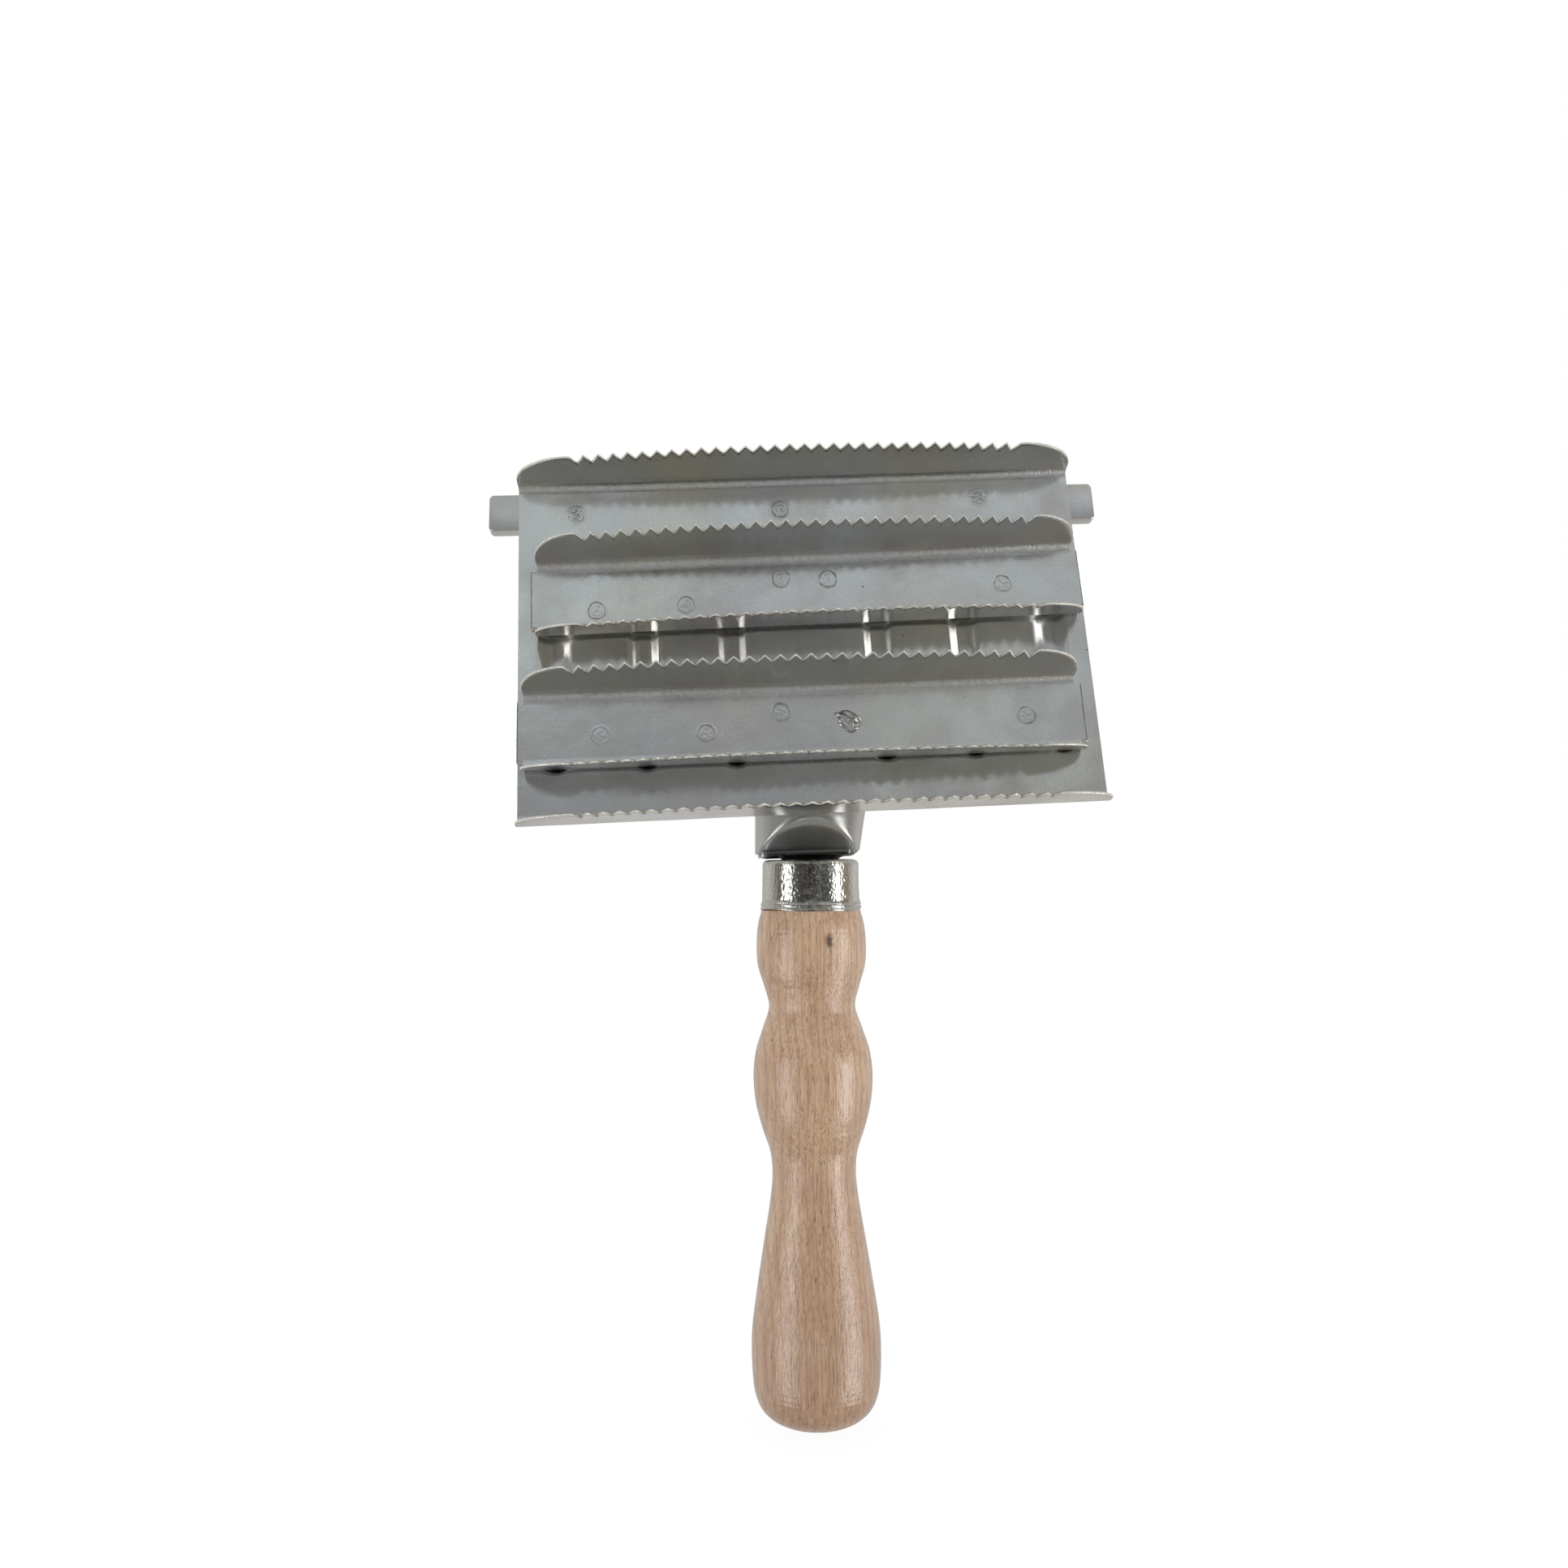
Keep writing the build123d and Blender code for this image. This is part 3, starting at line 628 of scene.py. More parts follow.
def relief_back(z, inward):
    """y of the slanting relief's face at height z."""
    front = HEAD_CENTRE[1] + SHEET / cos(HEAD_LEAN) - (HEAD_CENTRE[2] - RELIEF_APEX) * tan(HEAD_LEAN)
    return front + (RELIEF_APEX - z) / tan(RELIEF_ANGLE) + inward


def make_bracket():
    """Tongue, curl, half-round neck with its relief, the lip under it and the boss."""
    arc = np.linspace(-pi / 2, pi / 2, ARC_STEPS)
    wall = np.linspace(1, 0, WALL_STEPS + 1)[:-1]
    on_arc = np.concatenate((np.zeros(WALL_STEPS), np.ones(ARC_STEPS), np.zeros(WALL_STEPS)))
    back_share = np.concatenate((wall, np.zeros(ARC_STEPS), wall[::-1]))
    angle = np.concatenate((np.full(WALL_STEPS, -pi / 2), arc, np.full(WALL_STEPS, pi / 2)))
    tongue_share = 0.62         # past this share of the way down, the rows are closer together
    fraction = np.concatenate((np.linspace(0, tongue_share, 40, endpoint=False),
                               np.linspace(tongue_share, 1, 90)))

    def section(inward):
        """Grid of points on the outer face, or on the inner one when inward is the strap's thickness.

        The lowest row lies level with the lip, so its height on the tongue is found in a few passes."""
        v = np.full((len(angle), len(fraction)), -50.0)
        for _ in range(4):
            half, shift, bulge, depth = bracket_sizes(v)
            narrowing = inward * smooth_step((TONGUE_ROOT + 1 - v) / 6)
            reach = half - narrowing
            x = shift + reach * np.sin(angle)[:, None]
            fall = bulge * reach / half * (1 - np.cos(angle))[:, None]
            w = -inward - fall - back_share[:, None] * np.maximum(depth - inward - fall, 0.02)
            corner = smooth_step((np.abs(np.sin(angle))[:, None] - 0.86) / 0.14)
            level = LIP_BOTTOM + LIP_TILT * x[:, -1:] + CORNER_LIFT * corner
            origin_z = HEAD_CENTRE[2] - SHEET * sin(HEAD_LEAN)
            lowest = (level - origin_z - w[:, -1:] * sin(HEAD_LEAN)) / cos(HEAD_LEAN)
            v = TONGUE_TOP + (lowest - TONGUE_TOP) * fraction[None, :]
        taper_length, taper = TONGUE_TAPER
        corner = smooth_step((v - TONGUE_TOP + taper_length) / taper_length)
        x = x * (1 - taper * corner ** 3)
        points = tongue_to_comb(np.stack((x, v, w), -1))
        face = relief_back(points[..., 2], inward / sin(RELIEF_ANGLE))
        rounding = np.interp(points[..., 2], (RELIEF_FOOT, RELIEF_APEX), RELIEF_ROUNDING)
        relieved = soft_max(points[..., 1], face, rounding)
        near = on_arc[:, None] * smooth_step((RELIEF_APEX + 7 - points[..., 2]) / 5)
        points[..., 1] += near * (relieved - points[..., 1])
        return points

    front, back = section(0.0), section(STRAP)
    front[..., 1] += 0.03 * ripple(front, 12, 41)
    keep = np.ones((len(angle) - 1, len(fraction) - 1), bool)
    first_wall_row = np.searchsorted(fraction, (TONGUE_TOP - TONGUE_ROOT) / (TONGUE_TOP - NECK_END) + 0.01)
    keep[:WALL_STEPS, :first_wall_row] = keep[-WALL_STEPS:, :first_wall_row] = False
    neck, faces, _, _ = shell(front[:, ::-1], back[:, ::-1], keep[:, ::-1], 0.3, 0.0)
    parts = [(neck, faces.tolist()), lip_plate(), boss()]
    points, faces = join(parts)
    add_piece("bracket_steel", points, faces, (ZINC_NECK,), ("handle_bracket",))


def lip_plate():
    """Level plate that closes the neck's lower end behind the relief."""
    front_y = relief_back(LIP_BOTTOM + LIP_THICKNESS, 0.0)
    centre_x, centre_y = LIP_CENTRE
    columns, rows = 30, 40
    y = np.linspace(front_y, LIP_BACK, rows)
    ahead = np.minimum(y - centre_y, 0)
    reach = np.sqrt(np.maximum(LIP_RADIUS ** 2 - ahead ** 2, 0))
    x = centre_x + reach * np.linspace(-1, 1, columns)[:, None]
    z = LIP_BOTTOM + LIP_THICKNESS + LIP_TILT * x + 0.02
    top = np.stack((x, y + 0 * x, z), -1)
    bottom = top - (0, 0, LIP_THICKNESS)
    points, faces, _, _ = shell(top, bottom, np.ones((columns - 1, rows - 1), bool), 0.15, 0.0)
    return points, faces.tolist()


def boss():
    """Round foot that spreads into the lip."""
    top = LIP_BOTTOM + 0.3
    height = np.linspace(top, 0, 14)
    flare = BOSS_RADIUS + BOSS_FLARE * (height / LIP_BOTTOM) ** 2.5
    return lathe([(BORE, top)] + list(zip(flare, height)) + [(BORE, 0.0)], 96)


# ---- ferrule and handle --------------------------------------------------------------------------

def make_ferrule():
    """Pressed cap: round shoulder, peened skin, and an uneven rolled lip biting into the wood."""
    flat_radius = FERRULE_TOP_RADIUS - FERRULE_SHOULDER
    top = [(BORE, 0.0)] + [(r, 0.0) for r in np.linspace(BORE + 0.5, flat_radius - 0.15, 14)]
    shoulder = [(flat_radius + FERRULE_SHOULDER * sin(t), FERRULE_SHOULDER * (cos(t) - 1))
                for t in np.linspace(0, pi / 2, 12)]
    radii = (FERRULE_LOW_RADIUS, FERRULE_TOP_RADIUS)
    side = [(np.interp(z, (-9.0, -1.2), radii), z) for z in np.linspace(-1.3, -9.0, 70)]
    profile = top + shoulder + side + list(FERRULE_LIP + FERRULE_INSIDE)

    def shift(points):
        radius = np.hypot(points[..., 0], points[..., 1])
        outer = smooth_step((radius - 10.2) / 0.6)
        peened = 0.02 * ripple(points * (1, 1, 0.6), 0.62, 51, 40) + 0.03 * ripple(points, 9, 52)
        scale = 1 + outer * peened / np.maximum(radius, 1)
        points[..., :2] *= scale[..., None]
        low = smooth_step((-points[..., 2] - 8.6) / 1.0)
        turned = np.arctan2(points[..., 1], points[..., 0])
        sag = 0.22 * np.sin(turned * 2 + 0.6) + 0.12 * np.sin(turned * 5 + 2)
        points[..., 2] += low * sag
        return points

    points, faces = lathe(profile, 360, shift)
    # Painted dark reflection of the camera down the middle of the ferrule's front, laid through the dark
    # mask.
    camera_reflection = 0.75 * bell(points[:, 0] + 0.8, 3.6) * (points[:, 1] < 0)
    add_piece("ferrule_cap", points, faces, (FERRULE_STEEL,), ("ferrule",), (),
              {"dirt_and_shade": camera_reflection})


def make_handle():
    """Turned wood with faint tool marks, slightly out of round."""
    profile = catmull_rom([(r, -d) for r, d in HANDLE_TURNING], 14)
    profile[:, 0] = np.maximum(profile[:, 0], 0.01)

    def shift(points):
        radius = np.hypot(points[..., 0], points[..., 1])
        marks = 0.012 * np.sin(points[..., 2] * 5.2) + 0.05 * ripple(points * (1, 1, 0.25), 16, 61)
        points[..., :2] *= (1 + (radius > 10.9) * marks / np.maximum(radius, 1))[..., None]
        return points

    points, faces = lathe(list(TENON) + profile.tolist(), 240, shift)
    add_piece("turned_handle", points, faces, (WOOD,), ("wood_handle",))


# ---- materials -----------------------------------------------------------------------------------

class Nodes:
    """Builds a node tree one expression at a time."""

    def __init__(self, tree):
        self.tree = tree
        tree.nodes.clear()

    def add(self, kind, inputs=None, **settings):
        node = self.tree.nodes.new(kind)
        for key, value in settings.items():
            setattr(node, key, value)
        for key, value in (inputs or {}).items():
            self.put(node.inputs[key], value)
        return node

    def put(self, socket, value):
        if isinstance(value, bpy.types.NodeSocket):
            self.tree.links.new(value, socket)
        else:
            socket.default_value = value

    def math(self, operation, a, b=0.0, clamp=False):
        node = self.add("ShaderNodeMath", {0: a, 1: b}, operation=operation, use_clamp=clamp)
        return node.outputs[0]

    def times(self, a, b):
        return self.math("MULTIPLY", a, b)

    def plus(self, a, b):
        return self.math("ADD", a, b)

    def dot(self, a, b):
        return self.add("ShaderNodeVectorMath", {0: a, 1: b}, operation="DOT_PRODUCT").outputs["Value"]

    def mix(self, factor, a, b, blend="MIX"):
        node = self.add("ShaderNodeMix", data_type="RGBA", blend_type=blend)
        for socket, value in ((node.inputs[0], factor), (node.inputs[6], a), (node.inputs[7], b)):
            self.put(socket, value)
        return node.outputs[2]

    def paint(self, colour, layers):
        """The colour covered by (share, tint) layers, one after the other."""
        for share, tint in layers:
            colour = self.mix(share, colour, tint)
        return colour

    def ramp(self, value, low, high, start=0.0, end=1.0):
        inputs = {"Value": value, "From Min": low, "From Max": high, "To Min": start, "To Max": end}
        return self.add("ShaderNodeMapRange", inputs, interpolation_type="SMOOTHSTEP").outputs[0]

    def noise(self, vector, scale, detail=2.0, rough=0.5, distortion=0.0):
        inputs = {"Vector": vector, "Scale": scale, "Detail": detail, "Roughness": rough}
        inputs["Distortion"] = distortion
        return self.add("ShaderNodeTexNoise", inputs).outputs["Fac"]

    def mask(self, name):
        return self.add("ShaderNodeAttribute", attribute_name=name).outputs["Fac"]

    def stretch(self, vector, scale, turn=(0.0, 0.0, 0.0)):
        return self.add("ShaderNodeMapping", {"Vector": vector, "Scale": scale, "Rotation": turn}).outputs[0]

    def dots(self, vector, scale, size, share):
        """Sparse round dots: 1 inside a dot, 0 outside. share is how many cells hold one."""
        cell = self.add("ShaderNodeTexVoronoi", {"Vector": vector, "Scale": scale})
        chosen = self.add("ShaderNodeSeparateColor", {"Color": cell.outputs["Color"]}).outputs[0]
        inside = self.ramp(cell.outputs["Distance"], size * 0.5, size, 1.0, 0.0)
        return self.times(inside, self.ramp(chosen, share, share + 0.02, 1.0, 0.0))

    def scratches(self, vector, scale, turn):
        """Thin straight scratches, few and broken up."""
        long = self.stretch(vector, (1.0, 0.04, 0.04), turn)
        cells = {"Vector": long, "Scale": scale}
        lines = self.add("ShaderNodeTexVoronoi", cells, feature="DISTANCE_TO_EDGE")
        thin = self.ramp(lines.outputs["Distance"], 0.0, 0.02, 1.0, 0.0)
        return self.times(thin, self.ramp(self.noise(vector, scale * 0.35), 0.64, 0.7))


def grey(value, warm=0.0):
    return (value * (1 + warm), value, value * (1 - warm), 1.0)


def start_material(name):
    material = bpy.data.materials.new(name)
    material.use_nodes = True
    nodes = Nodes(material.node_tree)
    where = nodes.add("ShaderNodeTexCoord").outputs["Object"]
    return material, nodes, where


def close_material(nodes, colour, metallic, roughness, bumps, **inputs):
    """Principled shader whose normal runs through a list of (height, distance in metres) bumps."""
    normal = None
    for height, distance in bumps:
        node = nodes.add("ShaderNodeBump", {"Height": height, "Distance": distance, "Strength": 1.0})
        if normal is not None:
            nodes.put(node.inputs["Normal"], normal)
        normal = node.outputs[0]
    values = {"Base Color": colour, "Metallic": metallic, "Roughness": roughness}
    values.update({key.replace("_", " "): value for key, value in inputs.items()})
    shader = nodes.add("ShaderNodeBsdfPrincipled", values)
    nodes.put(shader.inputs["Normal"], normal)
    nodes.put(shader.inputs["Coat Normal"], normal)
    nodes.add("ShaderNodeOutputMaterial", {"Surface": shader.outputs[0]})


PIT = (230, 0.06)               # cells per metre, size of a dot in its cell
FLECK = (310, 0.045, 0.12)      # the same, and the share of cells that hold one
NECK_SHADE_HEIGHT = (0.0012, 0.0034)  # painted shade under the neck thins out between these heights
NECK_SHADE_WIDTH = (0.0085, 0.0108)   # and to the sides between these distances


def zinc(name, tone, polish, stain, peel=0.0, pits=0.2, neck_shade=0.0, metal=1.0):
    """Bright zinc plate: cloudy tone, stains, pits, drawing lines, fine scratches, frosted bends with a
    painted highlight.

    tone is how light it is, polish its roughness, stain how strong the brownish blotches are, peel the
    depth of the orange-peel skin, pits how many cells hold a pit, the argument after pits how strong the
    painted black shade under the neck is."""
    material, nodes, where = start_material(name)
    bend = nodes.mask("bend")
    dirt_and_shade = nodes.mask("dirt_and_shade")
    clouds = nodes.noise(where, 70, 4, 0.6)
    blotch = nodes.ramp(nodes.noise(where, 34, 5, 0.62, 0.6), 0.5, 0.72)
    yellowish = nodes.ramp(nodes.noise(where, 23, 3, 0.5), 0.42, 0.66)
    grain = nodes.noise(where, 2600, 2, 0.6)
    bend_sheen = nodes.times(bend, nodes.ramp(nodes.noise(where, 900, 3, 0.7), 0.4, 0.62))
    dot = nodes.dots(where, *PIT, pits)
    fleck = nodes.dots(where, *FLECK)
    # Dark tone laid by the mask read above: real weld marks, painted shade in the tooth valleys and at the
    # channel ends, and a painted dark reflection down the ferrule's front.
    shade_and_dirt_tone = nodes.times(dirt_and_shade, nodes.ramp(nodes.noise(where, 700, 2, 0.6), 0.35, 0.6, 0.35, 0.95))
    colour = nodes.paint(grey(tone, -0.012), (
        (nodes.ramp(clouds, 0.35, 0.65), grey(tone * 0.9, 0.012)),
        (yellowish, (tone * 0.99, tone * 0.97, tone * 0.89, 1)),
        (nodes.times(blotch, stain), (tone * 0.74, tone * 0.67, tone * 0.66, 1)),
        (nodes.ramp(grain, 0.3, 0.7, 0.0, 0.24), grey(tone * 0.6)),
        # the lighter colour along the bends is a painted highlight; the added roughness and sparkle bumps
        # below are the bends' rough skin
        (nodes.times(bend_sheen, 0.4), grey(min(tone * 1.35, 0.92))),
        (nodes.times(dot, 0.85), grey(0.07, 0.1)),
        (nodes.times(fleck, 0.9), grey(0.95)),
        (shade_and_dirt_tone, grey(0.05, 0.15))))
    # Painted shade: black under the neck, where the lip and the ferrule keep light off the relief and the
    # boss.
    if neck_shade:
        parts = nodes.add("ShaderNodeSeparateXYZ", {"Vector": where})
        low = nodes.ramp(parts.outputs[2], *NECK_SHADE_HEIGHT, neck_shade, 0.0)
        aside = nodes.math("ABSOLUTE", nodes.plus(parts.outputs[0], 0.0008))
        inside = nodes.ramp(aside, *NECK_SHADE_WIDTH, 1.0, 0.0)
        colour = nodes.mix(nodes.times(low, inside), colour, grey(0.04, 0.05))
    drawn = nodes.noise(nodes.stretch(where, (1.0, 1.0, 0.04)), 1500, 2, 0.6)
    rolled = nodes.noise(nodes.stretch(where, (1.0, 0.12, 0.12)), 330, 2, 0.5)
    lines = nodes.scratches(where, 170, (0.4, 0.9, 0.3))
    other_lines = nodes.scratches(where, 130, (0.1, -0.5, 1.2))
    marks = nodes.math("MAXIMUM", lines, other_lines)
    rough = nodes.plus(polish, nodes.ramp(clouds, 0.3, 0.7, -0.03, 0.06))
    for mask, rougher in ((blotch, 0.07), (fleck, 0.3), (bend, 0.3)):
        rough = nodes.plus(rough, nodes.times(mask, rougher))
    rough = nodes.math("ADD", rough, nodes.times(marks, 0.12), clamp=True)
    sparkle = nodes.times(nodes.noise(where, 1500, 2, 0.6), nodes.plus(bend, 0.06))
    bumps = [(nodes.noise(where, 240, 2, 0.5), 0.00003), (nodes.noise(where, 1900, 2, 0.6), 0.000007),
             (drawn, 0.000004), (rolled, 0.00001), (nodes.times(marks, -1.0), 0.000006),
             (nodes.times(dot, -1.0), 0.00003), (sparkle, 0.00012)]
    if peel:
        bumps.append((nodes.noise(where, 2100, 1, 0.4), peel))
    close_material(nodes, colour, metal, rough, bumps)
    return material


def sheared_edge():
    """Cut face of the sheet: near white, partly its own bright steel and partly a painted highlight along
    the edges; bright where it was torn, dull where it was cut, painted shade in the valleys.
    """
    material, nodes, where = start_material("sheared_edge")
    dirt_and_shade = nodes.mask("dirt_and_shade")
    torn = nodes.noise(nodes.stretch(where, (1.0, 0.25, 0.25)), 2300, 3, 0.7)
    patch = nodes.noise(where, 420, 3, 0.6)
    # The near-white base is partly the cut steel's own brightness and partly a painted highlight along the
    # teeth's edges.
    colour = nodes.paint((1.0, 0.98, 0.93, 1), (
        (nodes.ramp(torn, 0.35, 0.65), (0.74, 0.71, 0.64, 1)),
        (nodes.ramp(patch, 0.58, 0.78, 0.0, 0.45), (0.3, 0.28, 0.23, 1)),
        # painted shade in the tooth valleys and at the channel ends
        (nodes.times(dirt_and_shade, 0.4), (0.1, 0.09, 0.07, 1))))
    rough = nodes.ramp(torn, 0.25, 0.75, 0.3, 0.55)
    close_material(nodes, colour, 0.62, rough, [(torn, 0.0001), (patch, 0.00012)])
    return material


WOOD_LIGHT = (0.68, 0.45, 0.28, 1)
WOOD_DARKER = (0.56, 0.335, 0.2, 1)
WOOD_TOWARD_BUTT = (0.36, 0.21, 0.13, 1)
WOOD_LINE = (0.40, 0.18, 0.105, 1)
WOOD_DARK_FIBRE = (0.30, 0.15, 0.085, 1)
WOOD_LIGHT_FIBRE = (0.74, 0.56, 0.42, 1)
WOOD_PORE = (0.17, 0.075, 0.04, 1)
WOOD_KNOT = (0.07, 0.035, 0.022, 1)
WOOD_SPECK = (0.09, 0.04, 0.025, 1)
GROWTH_LINES = 640.0            # per metre
ACROSS_GROWTH = (0.99, 0.1, 0.012)
KNOT_AT = (0.0033, -0.0116, -0.00895)   # z halved, because the knot is twice as long as wide


def wood():
    """Turned hardwood under clear lacquer: sharp straight growth lines, fibres, pores and a small knot."""
    material, nodes, where = start_material("lacquered_wood")

    def along_grain(length):
        """Coordinates in which everything is drawn out along the handle; small numbers are long."""
        return nodes.stretch(where, (1.0, 1.0, length))
    height = nodes.add("ShaderNodeSeparateXYZ", {"Vector": where}).outputs[2]
    waver = nodes.noise(along_grain(0.1), 60, 3, 0.5)
    across = nodes.dot(where, ACROSS_GROWTH)
    rings = nodes.plus(nodes.times(across, GROWTH_LINES), nodes.times(waver, 0.9))
    saw = nodes.math("FRACT", rings)
    line = nodes.times(nodes.ramp(saw, 0.55, 0.95), nodes.ramp(saw, 0.95, 1.0, 1.0, 0.0))
    fibre = nodes.noise(along_grain(0.02), 2300, 4, 0.7, 0.1)
    streak = nodes.noise(along_grain(0.025), 620, 3, 0.6, 0.1)
    pores = nodes.noise(along_grain(0.09), 3600, 2, 0.5)
    cloud = nodes.noise(where, 60, 4, 0.6)
    away = nodes.add("ShaderNodeVectorMath", {0: along_grain(0.5), 1: KNOT_AT}, operation="DISTANCE")
    fray = nodes.ramp(nodes.noise(where, 900, 3, 0.7), 0.3, 0.7, -0.0002, 0.0002)
    colour = nodes.paint(WOOD_LIGHT, (
        (nodes.ramp(cloud, 0.3, 0.7), WOOD_DARKER),
        # the wood turns darker towards the butt
        (nodes.ramp(height, -0.118, -0.03, 0.45, 0.0), WOOD_TOWARD_BUTT),
        (nodes.ramp(streak, 0.5, 0.74, 0.0, 0.5), WOOD_LINE),
        (nodes.times(line, nodes.ramp(cloud, 0.2, 0.8, 0.35, 0.75)), WOOD_LINE),
        (nodes.ramp(fibre, 0.46, 0.68, 0.0, 0.5), WOOD_DARK_FIBRE),
        (nodes.ramp(fibre, 0.48, 0.3, 0.0, 0.35), WOOD_LIGHT_FIBRE),
        (nodes.ramp(pores, 0.57, 0.68, 0.0, 0.6), WOOD_PORE),
        (nodes.ramp(nodes.plus(away.outputs["Value"], fray), 0.0004, 0.0013, 0.9, 0.0), WOOD_KNOT),
        (nodes.times(nodes.dots(where, 210, 0.07, 0.12), 0.8), WOOD_SPECK)))
    rough = nodes.ramp(fibre, 0.3, 0.7, 0.36, 0.55)
    bumps = [(fibre, 0.00005), (nodes.times(pores, -1.0), 0.00005),
             (nodes.noise(along_grain(0.3), 1300, 3, 0.7), 0.0001),
             (nodes.noise(where, 420, 2, 0.5), 0.00004)]
    close_material(nodes, colour, 0.0, rough, bumps, Coat_Weight=0.95, Coat_Roughness=0.14, Coat_IOR=1.75)
    return material


ZINC = zinc("zinc_sheet", 0.69, 0.17, 0.5)
ZINC_BAR = zinc("zinc_bar", 0.65, 0.24, 0.3)
ZINC_NECK = zinc("zinc_neck", 0.5, 0.25, 0.5, neck_shade=0.9, metal=0.74)
WELD_MARK = zinc("weld_mark", 0.68, 0.17, 0.45, 0.000008, 0.4)
WELD_BEAD = zinc("weld_bead", 0.6, 0.22, 0.7, 0.00003, 0.7)
FERRULE_STEEL = zinc("ferrule_steel", 0.58, 0.13, 0.2, 0.00004)
PLAIN_STEEL = zinc("plain_steel", 0.45, 0.35, 0.6)
SHEARED = sheared_edge()
WOOD = wood()


# ---- studio --------------------------------------------------------------------------------------

def direction(azimuth, elevation):
    """Unit vector from the comb; azimuth 0 is toward the camera, positive to the right."""
    a, e = radians(azimuth), radians(elevation)
    return (sin(a) * cos(e), -cos(a) * cos(e), sin(e))


WORLD_FLOOR = (0.38, 0.375, 0.36)
WORLD_BANDS = (             # elevations in degrees where the next band starts and is full, its colour
    (-40, -30, (0.305, 0.312, 0.292)),
    (-22, -17, (0.465, 0.475, 0.465)),
    (-10, -5, (0.26, 0.265, 0.26)),
    (8, 14, (0.33, 0.335, 0.34)),
    (28, 34, (0.54, 0.57, 0.57)),
    (36, 41, (0.655, 0.70, 0.71)),
    (50, 57, (0.5, 0.51, 0.505)),
)
WORLD_SPOTS = (             # azimuth, elevation, radius in degrees, colour
    (-25, -4, 9, (0.19, 0.185, 0.18)),
    (-30, 2, 13, (0.16, 0.155, 0.15)),
    (31, 2, 12, (0.14, 0.135, 0.13)),
    (1, 1, 9, (0.30, 0.295, 0.29)),
    (-15, 4, 9, (0.07, 0.06, 0.055)),
    (26, 4, 8, (0.10, 0.09, 0.085)),
    (-2, 1, 8, (0.07, 0.055, 0.055)),
    (4, 12, 5, (0.7, 0.72, 0.72)),
    (-10, -11, 9, (0.72, 0.74, 0.74)),
    (15, -11, 9, (0.58, 0.6, 0.59)),
    (-78, 3, 16, (0.19, 0.185, 0.18)),
    (-7, 14, 8, (0.56, 0.58, 0.59)),
    (15, 14, 8, (0.42, 0.43, 0.425)),
    (-16, 43, 14, (0.58, 0.63, 0.66)),
    (14, 29, 8, (0.53, 0.56, 0.555)),
    (0, -35, 6, (0.16, 0.16, 0.15)),
    (-12, 34, 6, (0.66, 0.73, 0.74)),
    (-126, 0, 18, (0.78, 0.77, 0.73)),
    (128, -1, 18, (0.82, 0.8, 0.77)),
    (20, 62, 20, (0.56, 0.53, 0.46)),
    (38, -55, 26, (0.40, 0.36, 0.30)),
    (88, 3, 15, (0.35, 0.315, 0.275)),
    (98, -4, 5, (0.65, 0.36, 0.16)),
    (20, -28, 6, (0.4, 0.41, 0.385)),
    (27, -37, 5, (0.46, 0.34, 0.22)),
)
WORLD_BEHIND = (            # how squarely behind the comb the colour starts and is full, the colour
    (-0.05, 0.25, (0.6, 0.585, 0.555)),
    (0.45, 0.95, (0.62, 0.61, 0.59)),
)
DIFFUSE_BOOST = 0.95        # the studio lights matt surfaces this much more than reflections show
FLOOR_SIZE, FLOOR_LEVEL = 3.0, -0.12345
LENS = 27.236               # focal length in mm for a 36 mm sensor
CAMERA_RIGHT, CAMERA_UP = (0.9993, -0.0366, -0.0111), (0.0082, -0.0770, 0.9970)
CAMERA_AHEAD, CAMERA_AT = (0.0373, 0.9964, 0.0766), (-0.01604, -0.2725, -0.00344)


def make_world():
    """Pale surroundings to the camera; in reflections, the grey studio that the steel mirrors."""
    world = bpy.data.worlds.new("studio")
    world.use_nodes = True
    bpy.context.scene.world = world
    nodes = Nodes(world.node_tree)
    look = nodes.add("ShaderNodeTexCoord").outputs["Generated"]
    up = nodes.dot(look, (0.0, 0.0, 1.0))
    behind = nodes.dot(look, (0.0, 1.0, 0.0))
    layers = [(nodes.ramp(up, sin(radians(low)), sin(radians(high))), tint + (1,))
              for low, high, tint in WORLD_BANDS]
    layers += [(nodes.ramp(behind, start, full), tint + (1,)) for start, full, tint in WORLD_BEHIND]
    for azimuth, elevation, size, tint in WORLD_SPOTS:
        near = nodes.dot(look, direction(azimuth, elevation))
        layers.append((nodes.ramp(near, cos(radians(size)), cos(radians(size * 0.45))), tint + (1,)))
    colour = nodes.paint(WORLD_FLOOR + (1,), layers)
    ray = nodes.add("ShaderNodeLightPath")
    strength = nodes.plus(nodes.times(ray.outputs["Is Diffuse Ray"], DIFFUSE_BOOST), 1.0)
    studio = nodes.add("ShaderNodeBackground", {"Color": colour, "Strength": strength})
    white = nodes.add("ShaderNodeBackground", {"Color": (1.0, 1.0, 1.0, 1), "Strength": 1.0})
    blend = nodes.add("ShaderNodeMixShader", {0: ray.outputs["Is Camera Ray"], 1: studio.outputs[0],
                                              2: white.outputs[0]})
    nodes.add("ShaderNodeOutputWorld", {"Surface": blend.outputs[0]})


def softbox(name, azimuth, elevation, distance, width, height, radiance):
    """Rectangular area light facing the comb."""
    light = bpy.data.lights.new(name, "AREA")
    light.shape = "RECTANGLE"
    light.size, light.size_y = width, height
    light.energy = radiance * pi * width * height
    lamp = new_object(name, light)
    toward = Vector(direction(azimuth, elevation))
    lamp.location = toward * distance + Vector((0, 0, 0.02))
    lamp.rotation_mode = "QUATERNION"
    lamp.rotation_quaternion = toward.to_track_quat("Z", "Y")


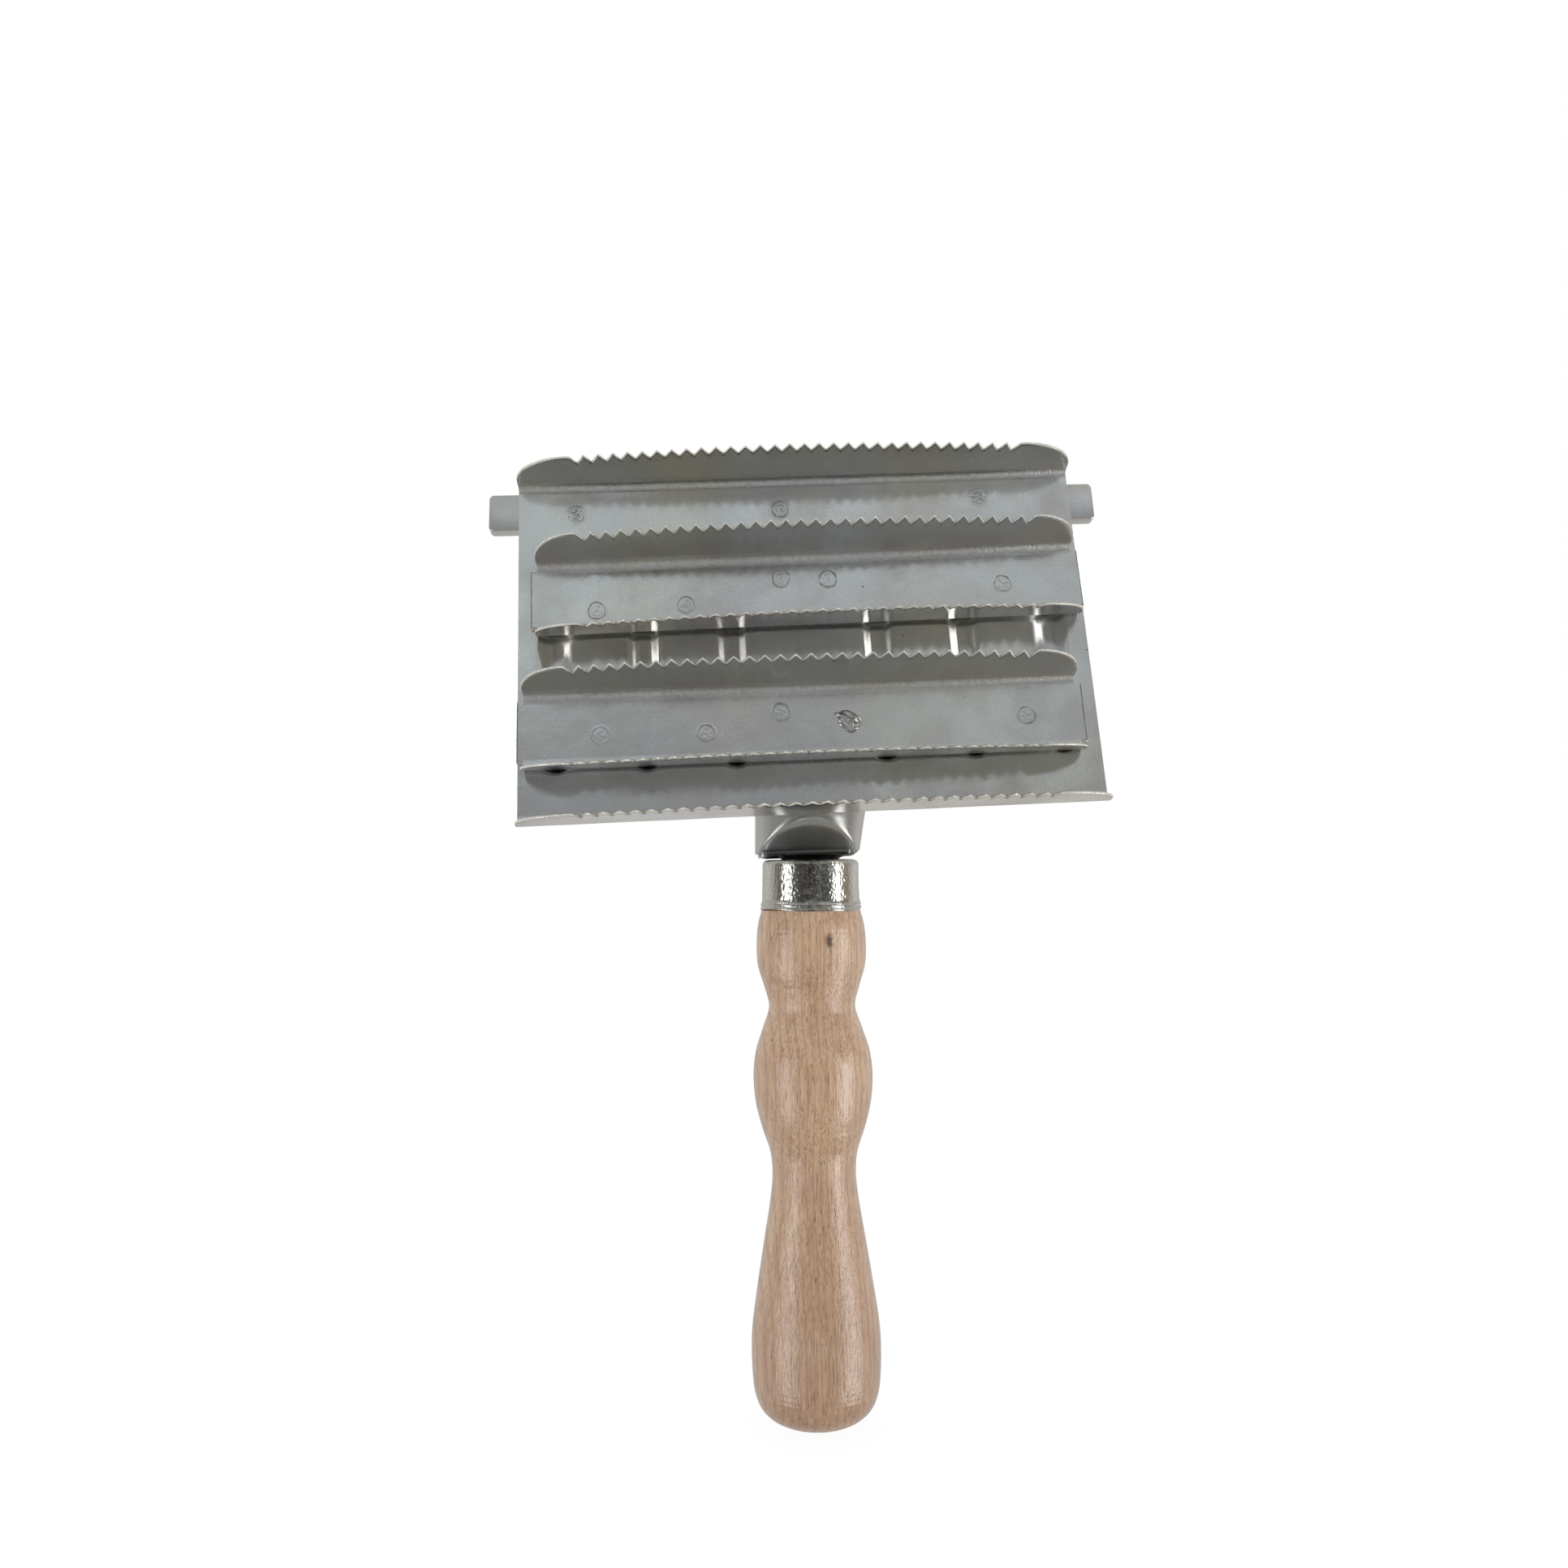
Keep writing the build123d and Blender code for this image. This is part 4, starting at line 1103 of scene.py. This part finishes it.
def make_floor():
    """Plain pale floor under the butt, lit almost evenly."""
    mesh = bpy.data.meshes.new("floor")
    corners = ((-1, -1), (1, -1), (1, 1), (-1, 1))
    mesh.from_pydata([(x * FLOOR_SIZE, y * FLOOR_SIZE, FLOOR_LEVEL) for x, y in corners], [],
                     [(0, 1, 2, 3)])
    floor = new_object("floor", mesh)
    material, nodes, _ = start_material("pale_floor")
    matt = nodes.add("ShaderNodeBsdfDiffuse", {"Color": (0.06, 0.06, 0.06, 1)})
    glow = nodes.add("ShaderNodeEmission", {"Color": (0.95, 0.95, 0.95, 1), "Strength": 1.0})
    both = nodes.add("ShaderNodeAddShader", {0: matt.outputs[0], 1: glow.outputs[0]})
    nodes.add("ShaderNodeOutputMaterial", {"Surface": both.outputs[0]})
    mesh.materials.append(material)
    floor.visible_glossy = False
    floor.visible_diffuse = False


def make_camera():
    """Camera of the reference view."""
    camera = bpy.data.cameras.new("camera")
    camera.sensor_width = 36.0
    camera.lens = LENS
    camera.clip_start, camera.clip_end = 0.01, 20
    eye = new_object("camera", camera)
    columns = (CAMERA_RIGHT, CAMERA_UP, tuple(-a for a in CAMERA_AHEAD), CAMERA_AT)
    eye.matrix_world = Matrix([[column[row] for column in columns] for row in range(3)] + [[0, 0, 0, 1]])
    bpy.context.scene.camera = eye


# ---- build ---------------------------------------------------------------------------------------

make_plate()
make_channel("upper_channel_sheet", "upper_tooth_channel", UPPER_CHANNEL_AT, UPPER_SEED)
make_channel("lower_channel_sheet", "lower_tooth_channel", LOWER_CHANNEL_AT, LOWER_SEED)
make_spot_welds("knocker_weld_rings", "knocker_spot_welds", KNOCKER_SPOTS, KNOCKER_MARKS,
                0.0, (0, 0, 0), PLATE_SEED, 100)
make_spot_welds("upper_weld_rings", "upper_channel_spot_welds", UPPER_SPOTS, UPPER_MARKS,
                SHEET, UPPER_CHANNEL_AT, UPPER_SEED, 200)
make_spot_welds("lower_weld_rings", "lower_channel_spot_welds", LOWER_SPOTS, LOWER_MARKS,
                SHEET, LOWER_CHANNEL_AT, LOWER_SEED, 300)
make_plug_weld()
make_knocker_bar()
make_bracket()
make_ferrule()
make_handle()
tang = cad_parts["handle_tang"]
tang.data.materials.clear()
tang.data.materials.append(PLAIN_STEEL)

make_world()
softbox("left_softbox", -58, -18, 0.7, 0.28, 0.62, 2.6)
softbox("right_softbox", 64, -18, 0.7, 0.28, 0.62, 3.7)
make_floor()
make_camera()
bpy.context.scene.view_settings.view_transform = "Standard"
